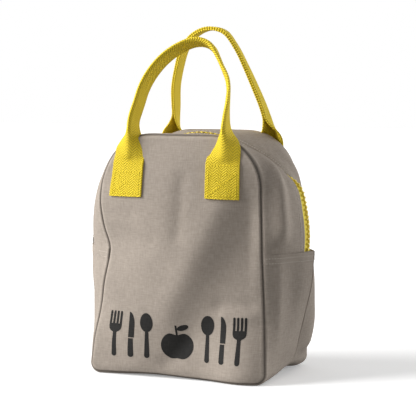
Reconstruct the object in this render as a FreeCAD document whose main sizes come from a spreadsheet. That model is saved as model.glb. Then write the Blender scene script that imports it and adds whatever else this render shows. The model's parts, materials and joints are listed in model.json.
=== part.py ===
import FreeCAD, Part
import math
import os

import Sketcher
from FreeCAD import Placement, Rotation, Vector

# A zip-top canvas lunch bag, in millimetres.  The origin is the middle of the bottom on the floor,
# +X is the wearer's right, -Y is the front panel and +Z is up.  The zip mouth is a half circle in
# the plane y = 0 and the two top halves of the bag fold outwards about one line along X.

doc = FreeCAD.newDocument("lunch_bag")
sheet = doc.addObject("Spreadsheet::Sheet", "sizes")

DIMENSIONS = {
    # cloth and webbing
    "canvas": 1.2,
    "lining": 0.6,
    "lining_gap": 3.0,
    "lining_side_gap": 4.5,
    "seam_gap": 0.2,
    "lap": 2.0,
    # lower bag: seam line between panel and gusset, and the ridge down the middle of the gusset
    "base_half_width": 94.0,
    "base_half_depth": 61.6,
    "base_bulge": 4.0,
    "middle_height": 65.0,
    "middle_half_width": 89.0,
    "middle_half_depth": 58.4,
    "middle_bulge": 15.0,
    "end_half_width": 86.0,
    "end_half_depth": 56.0,
    "end_bulge": 16.0,
    "ridge_foot": 96.5,
    "ridge_shoulder_height": 98.0,
    "ridge_shoulder": 121.5,
    "ridge": 123.0,
    "ridge_flat": 7.0,
    "zip_end_height": 131.0,
    # upper bag
    "bag_height": 252.0,
    "corner_radius": 53.0,
    "shoulder_height": 190.0,
    "shoulder_bulge": 13.0,
    "top_bulge": 1.0,
    "hinge_height": 150.0,
    "fold_height": 110.0,
    "fold_slope": 0.296,
    "fold_gap": 1.2,
    "reach": 150.0,
    # zip
    "mouth_radius": 121.0,
    "mouth_split": 41.0,
    "chain_radius": 116.4,
    "chain_depth": 3.0,
    "chain_gap": 0.6,
    "chain_width": 2.6,
    "tape_radius": 117.5,
    "tape_depth": 0.8,
    "tape_width": 4.6,
    "chain_end_low": 133.2,
    "chain_end_high": 145.6,
    "tape_end_high": 140.5,
    "stop_low": 131.3,
    "stop_length": 1.6,
    # slider, measured outwards from the chain's middle radius
    "slider_radius": 117.9,
    "slider_rest": 4.9,
    "slider_length": 11.0,
    "slider_width": 9.2,
    "slider_plate": 1.4,
    "slider_face": 1.9,
    "slider_flange": 1.0,
    "slider_flange_drop": 1.1,
    "slider_post": 0.7,
    "slider_post_length": 3.5,
    "bail_length": 7.2,
    "bail_width": 3.0,
    "bail_bar": 1.2,
    "bail_height": 7.1,
    "pull_pivot": 4.8,
    "pull_bar": 1.4,
    "pull_arm": 1.2,
    "pull_inner_width": 4.2,
    "pull_arm_length": 6.9,
    "pull_step": 0.7,
    "pull_offset": 1.0,
    "pull_length": 24.0,
    "pull_width": 8.0,
    # handles
    "strap_width": 38.0,
    "strap": 2.0,
    "handle_half_span": 51.0,
    "tab_low": 187.5,
    "tab_height": 35.0,
    "tab_depth": 65.0,
    "tab_turn": 12.0,
    "tab_lean": 4.0,
    "handle_pivot_depth": 68.5,
    "handle_pivot_height": 226.0,
    "handle_lean": 15.0,
    "handle_foot": 1.5,
    "fold_start": 28.0,
    "grip_start": 48.0,
    "grip_width": 19.0,
    "grip": 4.4,
    "front_handle_rise": 125.0,
    "back_handle_rise": 139.0,
    "handle_apex_shift": 13.0,
    # lining tub
    "lining_top": 96.0,
}


class Size:
    """A number together with the spreadsheet expression that gives it."""

    def __init__(self, value, text):
        self.value = value
        self.text = text

    @staticmethod
    def of(other):
        return other if isinstance(other, Size) else Size(float(other), repr(float(other)))

    def __add__(self, other):
        other = Size.of(other)
        return Size(self.value + other.value, f"({self.text} + {other.text})")

    def __sub__(self, other):
        other = Size.of(other)
        return Size(self.value - other.value, f"({self.text} - {other.text})")

    def __mul__(self, other):
        other = Size.of(other)
        return Size(self.value * other.value, f"({self.text} * {other.text})")

    def __truediv__(self, other):
        other = Size.of(other)
        return Size(self.value / other.value, f"({self.text} / {other.text})")

    def __neg__(self):
        return Size(-self.value, f"(-1 * {self.text})")

    def root(self):
        return Size(math.sqrt(self.value), f"sqrt({self.text})")


ZERO = Size.of(0.0)


def fill_sheet():
    for row, (alias, value) in enumerate(DIMENSIONS.items(), start=1):
        sheet.set(f"A{row}", alias)
        sheet.set(f"B{row}", str(value))
        sheet.setAlias(f"B{row}", alias)
    doc.recompute()


def size(alias):
    return Size(float(sheet.get(alias)), f"sizes.{alias}")


def bind(thing, **properties):
    """Binds properties to sizes; a double underscore stands for the dot in a property's path."""
    for name, value in properties.items():
        thing.setExpression(name.replace("__", "."), value.text)


# --- sketches and PartDesign features ----------------------------------------------------------


def new_body(label):
    body = doc.addObject("PartDesign::Body", label)
    body.Label = label
    return body


def new_sketch(body, role, name, offset=None):
    plane = next(f for f in body.Origin.OriginFeatures if f.Role == role)
    sketch = body.newObject("Sketcher::SketchObject", name)
    sketch.AttachmentSupport = [(plane, "")]
    sketch.MapMode = "FlatFace"
    if offset is not None:
        bind(sketch, AttachmentOffset__Base__z=offset)
    return sketch


def add_segment(sketch, start, end, arc):
    """Adds a line, or an arc of (radius, side) with side +1 for a centre left of the way along.

    Returns the geometry's number and which of its ends are the start and the end.
    """
    if arc is None:
        return sketch.addGeometry(Part.LineSegment(start, end)), 1, 2
    radius, side = arc[0].value, arc[1]
    chord = end - start
    rise = math.sqrt(max(radius**2 - (chord.Length / 2) ** 2, 0.0))
    left = Vector(-chord.y, chord.x, 0).normalize()
    centre = (start + end) * 0.5 + left * (rise * side)
    first, last = (start, end) if side > 0 else (end, start)
    angles = [math.atan2((p - centre).y, (p - centre).x) for p in (first, last)]
    circle = Part.Circle(centre, Vector(0, 0, 1), radius)
    geometry = sketch.addGeometry(Part.ArcOfCircle(circle, angles[0], angles[1]))
    return (geometry, 1, 2) if side > 0 else (geometry, 2, 1)


def outline(sketch, corners, arcs=None):
    """Draws a closed outline through corners of sizes and ties every corner and radius to them."""
    arcs = arcs or {}
    points = [Vector(x.value, y.value, 0) for x, y in corners]
    count = len(points)
    added = [
        add_segment(sketch, points[i], points[(i + 1) % count], arcs.get(i)) for i in range(count)
    ]
    for i, (geometry, _, end) in enumerate(added):
        after, start, _ = added[(i + 1) % count]
        sketch.addConstraint(Sketcher.Constraint("Coincident", geometry, end, after, start))
    for i, (geometry, start, _) in enumerate(added):
        for kind, length in (("DistanceX", corners[i][0]), ("DistanceY", corners[i][1])):
            tie = Sketcher.Constraint(kind, -1, 1, geometry, start, length.value)
            name = f"corner_{i}_{kind[-1].lower()}"
            sketch.renameConstraint(sketch.addConstraint(tie), name)
            sketch.setExpression(f"Constraints.{name}", length.text)
        if i in arcs:
            radius = arcs[i][0]
            name = f"radius_{i}"
            tie = Sketcher.Constraint("Radius", geometry, radius.value)
            sketch.renameConstraint(sketch.addConstraint(tie), name)
            sketch.setExpression(f"Constraints.{name}", radius.text)


def pad(body, sketch, length, symmetric=False):
    feature = body.newObject("PartDesign::Pad", f"{body.Name}_pad")
    feature.Profile = sketch
    bind(feature, Length=length)
    if symmetric:
        feature.SideType = "Symmetric"
    return feature


def loft(body, sketches, ruled):
    feature = body.newObject("PartDesign::AdditiveLoft", f"{body.Name}_loft")
    feature.Profile = sketches[0]
    feature.Sections = sketches[1:]
    feature.Ruled = ruled
    return feature


def box(name, length, width, height, x, y, z):
    """A box whose low corner is at x, y, z."""
    block = doc.addObject("Part::Box", name)
    bind(block, Length=length, Width=width, Height=height)
    bind(block, Placement__Base__x=x, Placement__Base__y=y, Placement__Base__z=z)
    return block


# --- booleans and copies -----------------------------------------------------------------------


def combine(kind, label, shapes):
    result = doc.addObject(kind, label)
    result.Label = label
    if kind == "Part::Compound":
        result.Links = shapes
    else:
        result.Shapes = shapes
    return result


def common(label, *shapes):
    return combine("Part::MultiCommon", label, list(shapes))


def fuse(label, *shapes):
    return combine("Part::MultiFuse", label, list(shapes))


def group(label, *shapes):
    return combine("Part::Compound", label, list(shapes))


def cut(label, base, tool):
    result = doc.addObject("Part::Cut", label)
    result.Label = label
    result.Base = base
    result.Tool = tool
    return result


def mirror(label, source, normal):
    copy = doc.addObject("Part::Mirroring", label)
    copy.Label = label
    copy.Source = source
    copy.Normal = normal
    return copy


ACROSS = Vector(0, 1, 0)
SIDEWAYS = Vector(1, 0, 0)
UPWARDS = Vector(0, 0, 1)


# --- cloth sections ----------------------------------------------------------------------------


def bowed_band(sketch, half_width, depth, bulge, wall):
    """A wall bowed towards -Y, seen from above, with its ends on the seam line."""
    radius = (half_width * half_width + bulge * bulge) / (bulge * 2)
    corners = [
        (-half_width, -depth),
        (half_width, -depth),
        (half_width, -depth + wall),
        (-half_width, -depth + wall),
    ]
    outline(sketch, corners, {0: (radius, 1), 2: (radius, -1)})


def bowed_panel(label, sections, wall):
    """A panel lofted through bowed bands given as (height, half width, depth, bulge)."""
    body = new_body(label)
    bands = []
    for number, (height, half_width, depth, bulge) in enumerate(sections):
        sketch = new_sketch(body, "XY_Plane", f"{label}_band_{number}", height)
        bowed_band(sketch, half_width, depth, bulge, wall)
        bands.append(sketch)
    loft(body, bands, ruled=False)
    return body


def fold_prism(label, front_only, drop):
    """The space above the fold line of the upper bag, as a prism along X."""
    body = new_body(label)
    sketch = new_sketch(body, "YZ_Plane", f"{label}_outline")
    height = size("hinge_height") - drop
    reach = size("reach")
    low = height - reach * size("fold_slope")
    top = size("bag_height") + reach
    if front_only:
        corners = [(ZERO, height), (ZERO, top), (-reach, top), (-reach, low)]
    else:
        corners = [(ZERO, height), (reach, low), (reach, top), (-reach, top), (-reach, low)]
    outline(sketch, corners)
    pad(body, sketch, reach * 2, symmetric=True)
    return body


# --- lower bag ---------------------------------------------------------------------------------


def side_wall(label, depth_inset):
    """The right-hand side of the gusset, folded to a blunt ridge, up to the zip's ends."""
    body = new_body(label)
    wall = size("canvas")
    flat = size("ridge_flat")
    levels = [
        (ZERO, "base", "ridge_foot"),
        (size("ridge_shoulder_height"), "end", "ridge_shoulder"),
        (size("zip_end_height"), "end", "ridge"),
    ]
    bands = []
    for number, (height, seam, ridge) in enumerate(levels):
        sketch = new_sketch(body, "XY_Plane", f"{label}_band_{number}", height)
        edge = size(f"{seam}_half_width")
        depth = size(f"{seam}_half_depth") - depth_inset
        crest = size(ridge)
        outside = [(edge, -depth), (crest, -flat), (crest, flat), (edge, depth)]
        inside = [(x - wall, y) for x, y in reversed(outside)]
        outline(sketch, outside + inside)
        bands.append(sketch)
    loft(body, bands, ruled=True)
    return body


def bottom_plate(label, inset):
    body = new_body(label)
    sketch = new_sketch(body, "XY_Plane", f"{label}_outline")
    half = size("base_half_width") - size("seam_gap")
    depth = size("base_half_depth") - inset
    bulge = size("base_bulge")
    radius = (half * half + bulge * bulge) / (bulge * 2)
    corners = [(-half, -depth), (half, -depth), (half, depth), (-half, depth)]
    outline(sketch, corners, {0: (radius, 1), 2: (radius, 1)})
    pad(body, sketch, size("canvas"))
    return body


def lower_bag():
    canvas = size("canvas")
    inset = canvas + size("seam_gap")
    above_fold = fold_prism("space_above_fold", False, size("fold_gap"))

    sections = [
        (ZERO, size("base_half_width"), size("base_half_depth"), size("base_bulge")),
        (
            size("middle_height"),
            size("middle_half_width"),
            size("middle_half_depth"),
            size("middle_bulge"),
        ),
        (size("hinge_height"), size("end_half_width"), size("end_half_depth"), size("end_bulge")),
    ]
    whole_panel = bowed_panel("front_panel_uncut", sections, canvas)
    front = cut("front_panel_lower", whole_panel, above_fold)
    back = mirror("back_panel_lower", front, ACROSS)

    right_side = side_wall("gusset_right_side", inset)
    left_side = mirror("gusset_left_side", right_side, SIDEWAYS)
    gusset = fuse("gusset_lower", bottom_plate("gusset_bottom", inset), right_side, left_side)

    strip = new_body("zipper_strip_end")
    strip_foot = size("zip_end_height") + size("seam_gap")
    sketch = new_sketch(strip, "XY_Plane", "zipper_strip_end_outline", strip_foot)
    edge = size("end_half_width")
    depth = size("end_half_depth") - inset
    crest = size("ridge")
    flat = size("ridge_flat")
    corners = [(edge, -depth), (crest, -flat), (crest - canvas, -flat), (edge - canvas, -depth)]
    outline(sketch, corners)
    pad(strip, sketch, size("hinge_height") - size("zip_end_height"))
    strip_right = cut("zipper_strip_right", strip, above_fold)
    strip_left = mirror("zipper_strip_left", strip_right, SIDEWAYS)
    strips_front = group("zipper_strips_front_pair", strip_right, strip_left)
    strips_back = mirror("zipper_strips_back_pair", strips_front, ACROSS)
    strips = group("zipper_strip_ends", strips_front, strips_back)
    return [front, back, gusset, strips]


def lining_tub():
    """A plain tub of lining that hangs inside the lower bag, open at the top."""
    side_gap = size("lining_side_gap")
    flat = size("ridge_flat")
    crest_foot = size("ridge_foot") - side_gap
    crest_top = size("ridge_shoulder") - side_gap
    solids = []
    for name, thinner in (("lining_outside", ZERO), ("lining_inside", size("lining"))):
        body = new_body(name)
        bands = []
        levels = [
            (size("lining_gap") + thinner, "base", crest_foot),
            (size("lining_top") + thinner, "end", crest_top),
        ]
        for number, (height, seam, crest) in enumerate(levels):
            sketch = new_sketch(body, "XY_Plane", f"{name}_band_{number}", height)
            edge = size(f"{seam}_half_width") - side_gap - thinner
            depth = size(f"{seam}_half_depth") - side_gap - thinner
            ridge = crest - thinner
            right = [(edge, -depth), (ridge, -flat), (ridge, flat), (edge, depth)]
            left = [(-x, -y) for x, y in right]
            outline(sketch, right + left)
            bands.append(sketch)
        loft(body, bands, ruled=True)
        solids.append(body)
    return cut("lining_lower", solids[0], solids[1])


# --- zip ---------------------------------------------------------------------------------------


def mouth_corners(radius, low):
    """Corners of a half circle with straight ends down to the height low, from left to right."""
    centre = size("zip_end_height")
    split = size("mouth_split")
    rise = centre + (radius * radius - split * split).root()
    left = [(-radius, low), (-radius, centre), (-split, rise)]
    return left + [(-x, z) for x, z in reversed(left)]


def mouth_band(sketch, radius, thickness, low):
    inner = radius - thickness
    corners = mouth_corners(radius, low) + mouth_corners(inner, low)[::-1]
    arcs = {i: (radius, -1) for i in (1, 2, 3)}
    arcs.update({i: (inner, 1) for i in (7, 8, 9)})
    outline(sketch, corners, arcs)


def zip_ring(label, inner_radius, depth, near, width):
    """A half ring round the mouth, from y = -near to y = -(near + width)."""
    body = new_body(label)
    sketch = new_sketch(body, "XZ_Plane", f"{label}_outline", near)
    mouth_band(sketch, inner_radius + depth, depth, size("zip_end_height") - size("lap"))
    pad(body, sketch, width)
    return body


def slab(name, low, high):
    """A block that takes in everything between two heights."""
    reach = size("reach")
    return box(name, reach * 2, reach * 2, high - low, -reach, -reach, low)


def four_ends(label, ring, window):
    front_pair = common(f"{label}_front_pair", ring, window)
    back_pair = mirror(f"{label}_back_pair", front_pair, ACROSS)
    return group(label, front_pair, back_pair)


def zip_pieces(above_fold):
    chain = zip_ring(
        "chain_ring", size("chain_radius"), size("chain_depth"), size("chain_gap"), size("chain_width")
    )
    tape_near = size("chain_gap") + size("chain_width")
    tape = zip_ring(
        "tape_ring", size("tape_radius"), size("tape_depth"), tape_near, size("tape_width")
    )
    pieces = []
    for name, ring in (("zipper_chain", chain), ("zipper_tape", tape)):
        front = common(f"{name}_front", ring, above_fold)
        pieces += [front, mirror(f"{name}_back", front, ACROSS)]

    chain_window = slab("chain_end_window", size("chain_end_low"), size("chain_end_high"))
    tape_window = slab("tape_end_window", size("stop_low"), size("tape_end_high"))
    pieces.append(four_ends("zipper_chain_ends", chain, chain_window))
    pieces.append(four_ends("zipper_tape_ends", tape, tape_window))

    depth = size("chain_depth")
    width = size("chain_width")
    gap = size("chain_gap")
    inner = size("chain_radius")
    low = size("stop_low")
    tall = size("stop_length")
    stop_front = box("top_stop_front", depth, width, tall, -(inner + depth), -(gap + width), low)
    stop_back = box("top_stop_back", depth, width, tall, -(inner + depth), gap, low)
    pieces.append(group("zipper_top_stops", stop_front, stop_back))
    across = (gap + width) * 2
    pieces.append(box("zipper_bottom_stop", depth, across, tall, inner, -(gap + width), low))
    return pieces


def slider_start():
    """The slider's turn about the middle of the mouth when it is parked at the left end."""
    middle = DIMENSIONS["chain_end_low"] + DIMENSIONS["slider_rest"]
    rise = middle - DIMENSIONS["zip_end_height"]
    return math.degrees(math.asin(rise / DIMENSIONS["slider_radius"]))


def slider_block(name, near, far, half_width, low, high, offset=None):
    """A block of the slider from near to far outside the chain, at the slider's own middle."""
    radius = size("slider_radius")
    middle = size("zip_end_height")
    y = -half_width if offset is None else offset
    width = half_width * 2 if offset is None else half_width
    return box(name, far - near, width, high - low, -(radius + far), y, middle + low)


def slider():
    half = size("slider_length") / 2
    half_width = size("slider_width") / 2
    face = size("slider_face")
    plate = size("slider_plate")
    flange = size("slider_flange")
    drop = size("slider_flange_drop")
    blocks = [slider_block("slider_outer_plate", face, face + plate, half_width, -half, half)]
    blocks.append(slider_block("slider_inner_plate", -face - plate, -face, half_width, -half, half))
    for side, y in (("front", -half_width), ("back", half_width - flange)):
        for level, near in (("outer", face - drop), ("inner", -face)):
            name = f"slider_{level}_flange_{side}"
            blocks.append(slider_block(name, near, near + drop, flange, -half, half, y))
    post_end = size("slider_post_length") - half
    post_half = size("slider_post") / 2
    blocks.append(slider_block("slider_post", -face, face, post_half, -half, post_end))
    bail_half = size("bail_length") / 2
    bar = size("bail_bar")
    top = size("bail_height")
    bail_width = size("bail_width") / 2
    for name, low in (("lower", -bail_half), ("upper", bail_half - bar)):
        blocks.append(slider_block(f"bail_{name}_leg", face + plate, top, bail_width, low, low + bar))
    bail_top = slider_block("bail_top", top - bar, top, bail_width, -bail_half, bail_half)
    blocks.append(bail_top)
    body = fuse("zipper_slider", *blocks)
    centre = Vector(0, 0, DIMENSIONS["zip_end_height"])
    turn = Rotation(ACROSS, slider_start())
    body.Placement = Placement(Vector(), turn, centre)

    pivot = size("pull_pivot")
    bar_half = size("pull_bar") / 2
    arm = size("pull_arm")
    inner_half = size("pull_inner_width") / 2
    arm_end = -size("pull_arm_length")
    offset = pivot + size("pull_offset")
    near, far = pivot - bar_half, pivot + bar_half
    half_bar = inner_half + arm
    bars = [slider_block("pull_cross_bar", near, far, half_bar, -bar_half, bar_half)]
    for side, y in (("front", -half_bar), ("back", inner_half)):
        bars.append(slider_block(f"pull_arm_{side}", near, far, arm, arm_end, bar_half, y))
    step_top = arm_end + size("pull_step")
    outer = offset + size("pull_bar")
    bars.append(slider_block("pull_bridge", near, outer, half_bar, arm_end, step_top))
    tongue_half = size("pull_width") / 2
    tongue_end = -size("pull_length")
    bars.append(slider_block("pull_tongue", offset, outer, tongue_half, tongue_end, step_top))
    pull = fuse("zipper_pull", *bars)
    reach = DIMENSIONS["slider_radius"] + DIMENSIONS["pull_pivot"]
    at_rest = turn.multVec(Vector(-reach, 0, 0))
    pull.Placement = Placement(at_rest - Vector(-reach, 0, 0), Rotation())
    return [body, pull]


# --- upper bag ---------------------------------------------------------------------------------


def arch_corners(half_width, top, radius, low):
    turn = top - radius
    return [
        (-half_width, low),
        (-half_width, turn),
        (radius - half_width, top),
        (half_width - radius, top),
        (half_width, turn),
        (half_width, low),
    ]


def upper_half(label, strip_label, inset, mouth_inset, wall, above_fold):
    """The upper front panel and the strip from its seam to the zip, set in from the outer cloth."""
    half_width = size("end_half_width") - size("lap") - inset
    depth = size("end_half_depth") - size("lap") - inset
    top = size("bag_height") - inset
    radius = size("corner_radius") - inset
    low = size("fold_height")

    sections = [
        (low, half_width, depth, size("end_bulge")),
        (size("shoulder_height"), half_width, depth, size("shoulder_bulge")),
        (size("bag_height"), half_width, depth, size("top_bulge")),
    ]
    whole = bowed_panel(f"{label}_uncut", sections, wall)
    arch = new_body(f"{label}_arch")
    sketch = new_sketch(arch, "XZ_Plane", f"{label}_arch_outline")
    corner = {1: (radius, -1), 3: (radius, -1)}
    outline(sketch, arch_corners(half_width, top, radius, low), corner)
    pad(arch, sketch, size("reach"))
    panel = common(label, whole, arch, above_fold)

    strip = new_body(f"{strip_label}_uncut")
    seam_depth = depth - size("canvas") - size("seam_gap")
    seam = new_sketch(strip, "XZ_Plane", f"{strip_label}_seam", seam_depth)
    corners = arch_corners(half_width, top, radius, low)
    corners += arch_corners(half_width - wall, top - wall, radius - wall, low)[::-1]
    inner = radius - wall
    outline(seam, corners, {1: (radius, -1), 3: (radius, -1), 7: (inner, 1), 9: (inner, 1)})
    mouth = new_sketch(strip, "XZ_Plane", f"{strip_label}_mouth", size("ridge_flat") + inset)
    mouth_band(mouth, size("mouth_radius") - mouth_inset, wall, low)
    loft(strip, [seam, mouth], ruled=True)
    return [panel, common(strip_label, strip, above_fold)]


def upper_bag(above_fold):
    fronts = upper_half(
        "front_panel_upper", "zipper_strip_front", ZERO, ZERO, size("canvas"), above_fold
    )
    fronts += upper_half(
        "lining_front_upper",
        "lining_strip_front",
        size("lining_gap"),
        size("lining_side_gap"),
        size("lining"),
        above_fold,
    )
    backs = [mirror(front.Label.replace("front", "back"), front, ACROSS) for front in fronts]
    return fronts + backs


# --- handles -----------------------------------------------------------------------------------


def handle_tab(side, sign):
    """The end of a handle where the webbing lies flat on the front panel, inside its box stitch."""
    tab = doc.addObject("Part::Box", f"front_tab_{side}")
    tab.Label = f"front_tab_{side}"
    bind(tab, Length=size("strap_width"), Width=size("strap"), Height=size("tab_height"))
    turn = Rotation(UPWARDS, DIMENSIONS["tab_turn"] * sign)
    turn = turn.multiply(Rotation(SIDEWAYS, -DIMENSIONS["tab_lean"]))
    corner = turn.multVec(Vector(-DIMENSIONS["strap_width"] / 2, -DIMENSIONS["strap"], 0))
    span = DIMENSIONS["handle_half_span"] * sign
    centre = Vector(span, -DIMENSIONS["tab_depth"], DIMENSIONS["tab_low"])
    tab.Placement = Placement(centre + corner, turn)
    return tab


def handle_leg(name, x):
    """Webbing that starts flat and wide at the tab and ends folded lengthwise at the grip."""
    body = new_body(name)
    flat_half = size("strap_width") / 2
    strap_half = size("strap") / 2
    grip_half = size("grip") / 2
    grip_depth = size("grip_width") / 2
    levels = [
        (size("handle_foot"), flat_half, strap_half),
        (size("fold_start"), flat_half, strap_half),
        (size("grip_start"), grip_half, grip_depth),
    ]
    bands = []
    for number, (height, half_x, half_y) in enumerate(levels):
        sketch = new_sketch(body, "XY_Plane", f"{name}_section_{number}", height)
        corners = [
            (x - half_x, -half_y),
            (x + half_x, -half_y),
            (x + half_x, half_y),
            (x - half_x, half_y),
        ]
        outline(sketch, corners)
        bands.append(sketch)
    loft(body, bands, ruled=True)
    return body


def handle_loop(label, rise):
    """The loop of folded webbing between two legs; its top stands right of the middle."""
    span = size("handle_half_span")
    grip_half = size("grip") / 2
    shift = size("handle_apex_shift")
    left_radius = span + shift
    right_radius = span - shift
    low = size("grip_start")
    left_turn = rise - left_radius
    right_turn = rise - right_radius
    body = new_body(f"{label}_grip")
    sketch = new_sketch(body, "XZ_Plane", f"{label}_grip_outline")
    corners = [
        (-span - grip_half, low),
        (-span - grip_half, left_turn),
        (shift, rise + grip_half),
        (span + grip_half, right_turn),
        (span + grip_half, low),
        (span - grip_half, low),
        (span - grip_half, right_turn),
        (shift, rise - grip_half),
        (-span + grip_half, left_turn),
        (-span + grip_half, low),
    ]
    arcs = {
        1: (left_radius + grip_half, -1),
        2: (right_radius + grip_half, -1),
        6: (right_radius - grip_half, 1),
        7: (left_radius - grip_half, 1),
    }
    outline(sketch, corners, arcs)
    pad(body, sketch, size("grip_width"), symmetric=True)
    left = handle_leg(f"{label}_left_leg", -span)
    right = handle_leg(f"{label}_right_leg", span)
    return fuse(label, body, left, right)


def handles():
    tabs = [handle_tab("left", -1), handle_tab("right", 1)]
    backs = [mirror(tab.Label.replace("front", "back"), tab, ACROSS) for tab in tabs]
    loops = []
    for side, sign in (("front", -1), ("back", 1)):
        loop = handle_loop(f"{side}_handle", size(f"{side}_handle_rise"))
        pivot_depth = DIMENSIONS["handle_pivot_depth"] * sign
        pivot = Vector(0, pivot_depth, DIMENSIONS["handle_pivot_height"])
        loop.Placement = Placement(pivot, Rotation(SIDEWAYS, DIMENSIONS["handle_lean"] * sign))
        loops.append(loop)
    return tabs + backs + loops


# --- checks and files --------------------------------------------------------------------------


def check_document():
    for thing in doc.Objects:
        if {"Invalid", "Error"} & set(thing.State):
            raise RuntimeError(f"{thing.Label} did not build: {thing.State}")


def write_parts(parts):
    os.makedirs("parts", exist_ok=True)
    for part in parts:
        shape = part.Shape
        if shape.isNull() or not shape.isValid() or not shape.Solids:
            raise RuntimeError(f"{part.Label} has no valid solid")
        bounds = shape.optimalBoundingBox()
        extent = f"x {bounds.XMin:.1f}..{bounds.XMax:.1f}  y {bounds.YMin:.1f}..{bounds.YMax:.1f}"
        rise = f"z {bounds.ZMin:.1f}..{bounds.ZMax:.1f}"
        print(f"{part.Label}: {extent}  {rise}  {len(shape.Solids)} solids")
        shape.exportStep(f"parts/{part.Label}.step")


fill_sheet()
above_front_fold = fold_prism("space_above_front_fold", True, ZERO)
all_parts = lower_bag() + [lining_tub()] + zip_pieces(above_front_fold) + slider()
all_parts += upper_bag(above_front_fold) + handles()
doc.recompute()
check_document()
write_parts(all_parts)
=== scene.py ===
"""Builds a zipped canvas lunch bag with two folded webbing handles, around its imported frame."""

import json
import math

import bmesh
import bpy
import numpy as np
from bpy.props import FloatProperty, FloatVectorProperty, PointerProperty
from bpy.types import Operator, Panel, PropertyGroup
from mathutils import Matrix, Vector


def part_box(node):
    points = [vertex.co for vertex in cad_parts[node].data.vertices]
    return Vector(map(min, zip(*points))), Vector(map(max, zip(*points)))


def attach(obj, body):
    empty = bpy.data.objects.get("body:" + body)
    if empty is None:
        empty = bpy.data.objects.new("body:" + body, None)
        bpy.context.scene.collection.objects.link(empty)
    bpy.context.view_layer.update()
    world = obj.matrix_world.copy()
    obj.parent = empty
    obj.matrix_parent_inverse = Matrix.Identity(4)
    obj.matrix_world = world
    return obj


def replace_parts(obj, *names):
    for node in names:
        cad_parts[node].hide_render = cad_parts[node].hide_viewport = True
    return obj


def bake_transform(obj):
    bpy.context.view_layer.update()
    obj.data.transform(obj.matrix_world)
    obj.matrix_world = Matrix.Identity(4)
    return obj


bl_info = {
    "name": "Canvas Lunch Bag",
    "version": (1, 0, 0),
    "blender": (4, 5, 0),
    "location": "3D View > Sidebar > Lunch Bag",
    "description": "A zipped canvas lunch bag with two folded webbing handles",
    "category": "Add Mesh",
}

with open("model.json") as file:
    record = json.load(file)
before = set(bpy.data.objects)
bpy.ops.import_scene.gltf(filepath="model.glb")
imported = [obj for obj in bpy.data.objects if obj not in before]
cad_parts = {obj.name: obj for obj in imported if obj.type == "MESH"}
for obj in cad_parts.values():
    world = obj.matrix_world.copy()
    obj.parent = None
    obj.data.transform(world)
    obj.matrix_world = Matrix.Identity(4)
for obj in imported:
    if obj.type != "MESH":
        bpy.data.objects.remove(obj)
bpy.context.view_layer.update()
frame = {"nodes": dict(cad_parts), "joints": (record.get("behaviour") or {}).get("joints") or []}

# Places taken from the frame, in metres. The front of the bag is at minus Y.
JOINTS = {joint["name"]: joint for joint in frame["joints"]}
MOUTH_Z = JOINTS["zip_slider_travel"]["pos_m"][2]
HANDLE_PIVOT = JOINTS["front_handle_hinge"]["pos_m"]
PANEL_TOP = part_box("front_panel_upper")[1].z - 0.001
RIDGE_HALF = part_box("gusset_lower")[1].x
TAB_LOW, TAB_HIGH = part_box("front_tab_left")
TAB_CENTRE = abs(TAB_LOW.x + TAB_HIGH.x) / 2
SLIDER_LOW, SLIDER_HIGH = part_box("zipper_slider")
PULL_LOW, PULL_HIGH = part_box("zipper_pull")

FRONT, BACK = -1.0, 1.0
SIDE_NAMES = {FRONT: "front", BACK: "back"}
LEFT_TO_RIGHT = np.array((-1.0, 1.0, 1.0))
FRONT_TO_BACK = np.array((1.0, -1.0, 1.0))


# ---------------------------------------------------------------- settings


class BagSizes(PropertyGroup):
    """Sizes of the canvas shell"""

    side_half: FloatProperty(
        name="Side Seam", description="Half width at the side seams", default=0.0863, unit="LENGTH"
    )
    foot_flare: FloatProperty(
        name="Foot Flare", description="Extra half width at the foot", default=0.0095, unit="LENGTH"
    )
    foot_corner: FloatProperty(
        name="Foot Corner", description="Radius of the bottom corners", default=0.009, unit="LENGTH"
    )
    arch_radius: FloatProperty(
        name="Arch Radius", description="Radius of the panels' top corners", default=0.053, unit="LENGTH"
    )
    seam_depth: FloatProperty(
        name="Seam Depth", description="Half depth by the zip's ends", default=0.0535, unit="LENGTH"
    )
    seam_roll: FloatProperty(
        name="Seam Roll", description="Radius of an edge turned at a seam", default=0.0022, unit="LENGTH"
    )
    mouth_radius: FloatProperty(
        name="Zip Radius", description="Radius of the zip's line by its ends", default=0.1180, unit="LENGTH"
    )
    hem: FloatProperty(
        name="Hem", description="Lap of the gusset over the zip strips", default=0.0095, unit="LENGTH"
    )
    cloth: FloatProperty(
        name="Canvas", description="Thickness of the canvas", default=0.0012, unit="LENGTH"
    )
    lining: FloatProperty(
        name="Lining", description="Thickness of the lining", default=0.0006, unit="LENGTH"
    )


class TrimSizes(PropertyGroup):
    """Sizes of the handles, the zip and the stitching"""

    webbing_width: FloatProperty(
        name="Webbing Width", description="Width of the flat webbing", default=0.0355, unit="LENGTH"
    )
    webbing: FloatProperty(
        name="Webbing", description="Thickness of the webbing", default=0.0020, unit="LENGTH"
    )
    tooth_pitch: FloatProperty(
        name="Tooth Pitch", description="Distance between one tape's teeth", default=0.0050, unit="LENGTH"
    )
    stitch_pitch: FloatProperty(
        name="Stitch Pitch", description="Distance between two stitches", default=0.0030, unit="LENGTH"
    )
    stitch_length: FloatProperty(
        name="Stitch Length", description="Length of thread that shows", default=0.0023, unit="LENGTH"
    )
    thread: FloatProperty(
        name="Thread", description="Thickness of the thread", default=0.0008, unit="LENGTH"
    )


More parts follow.
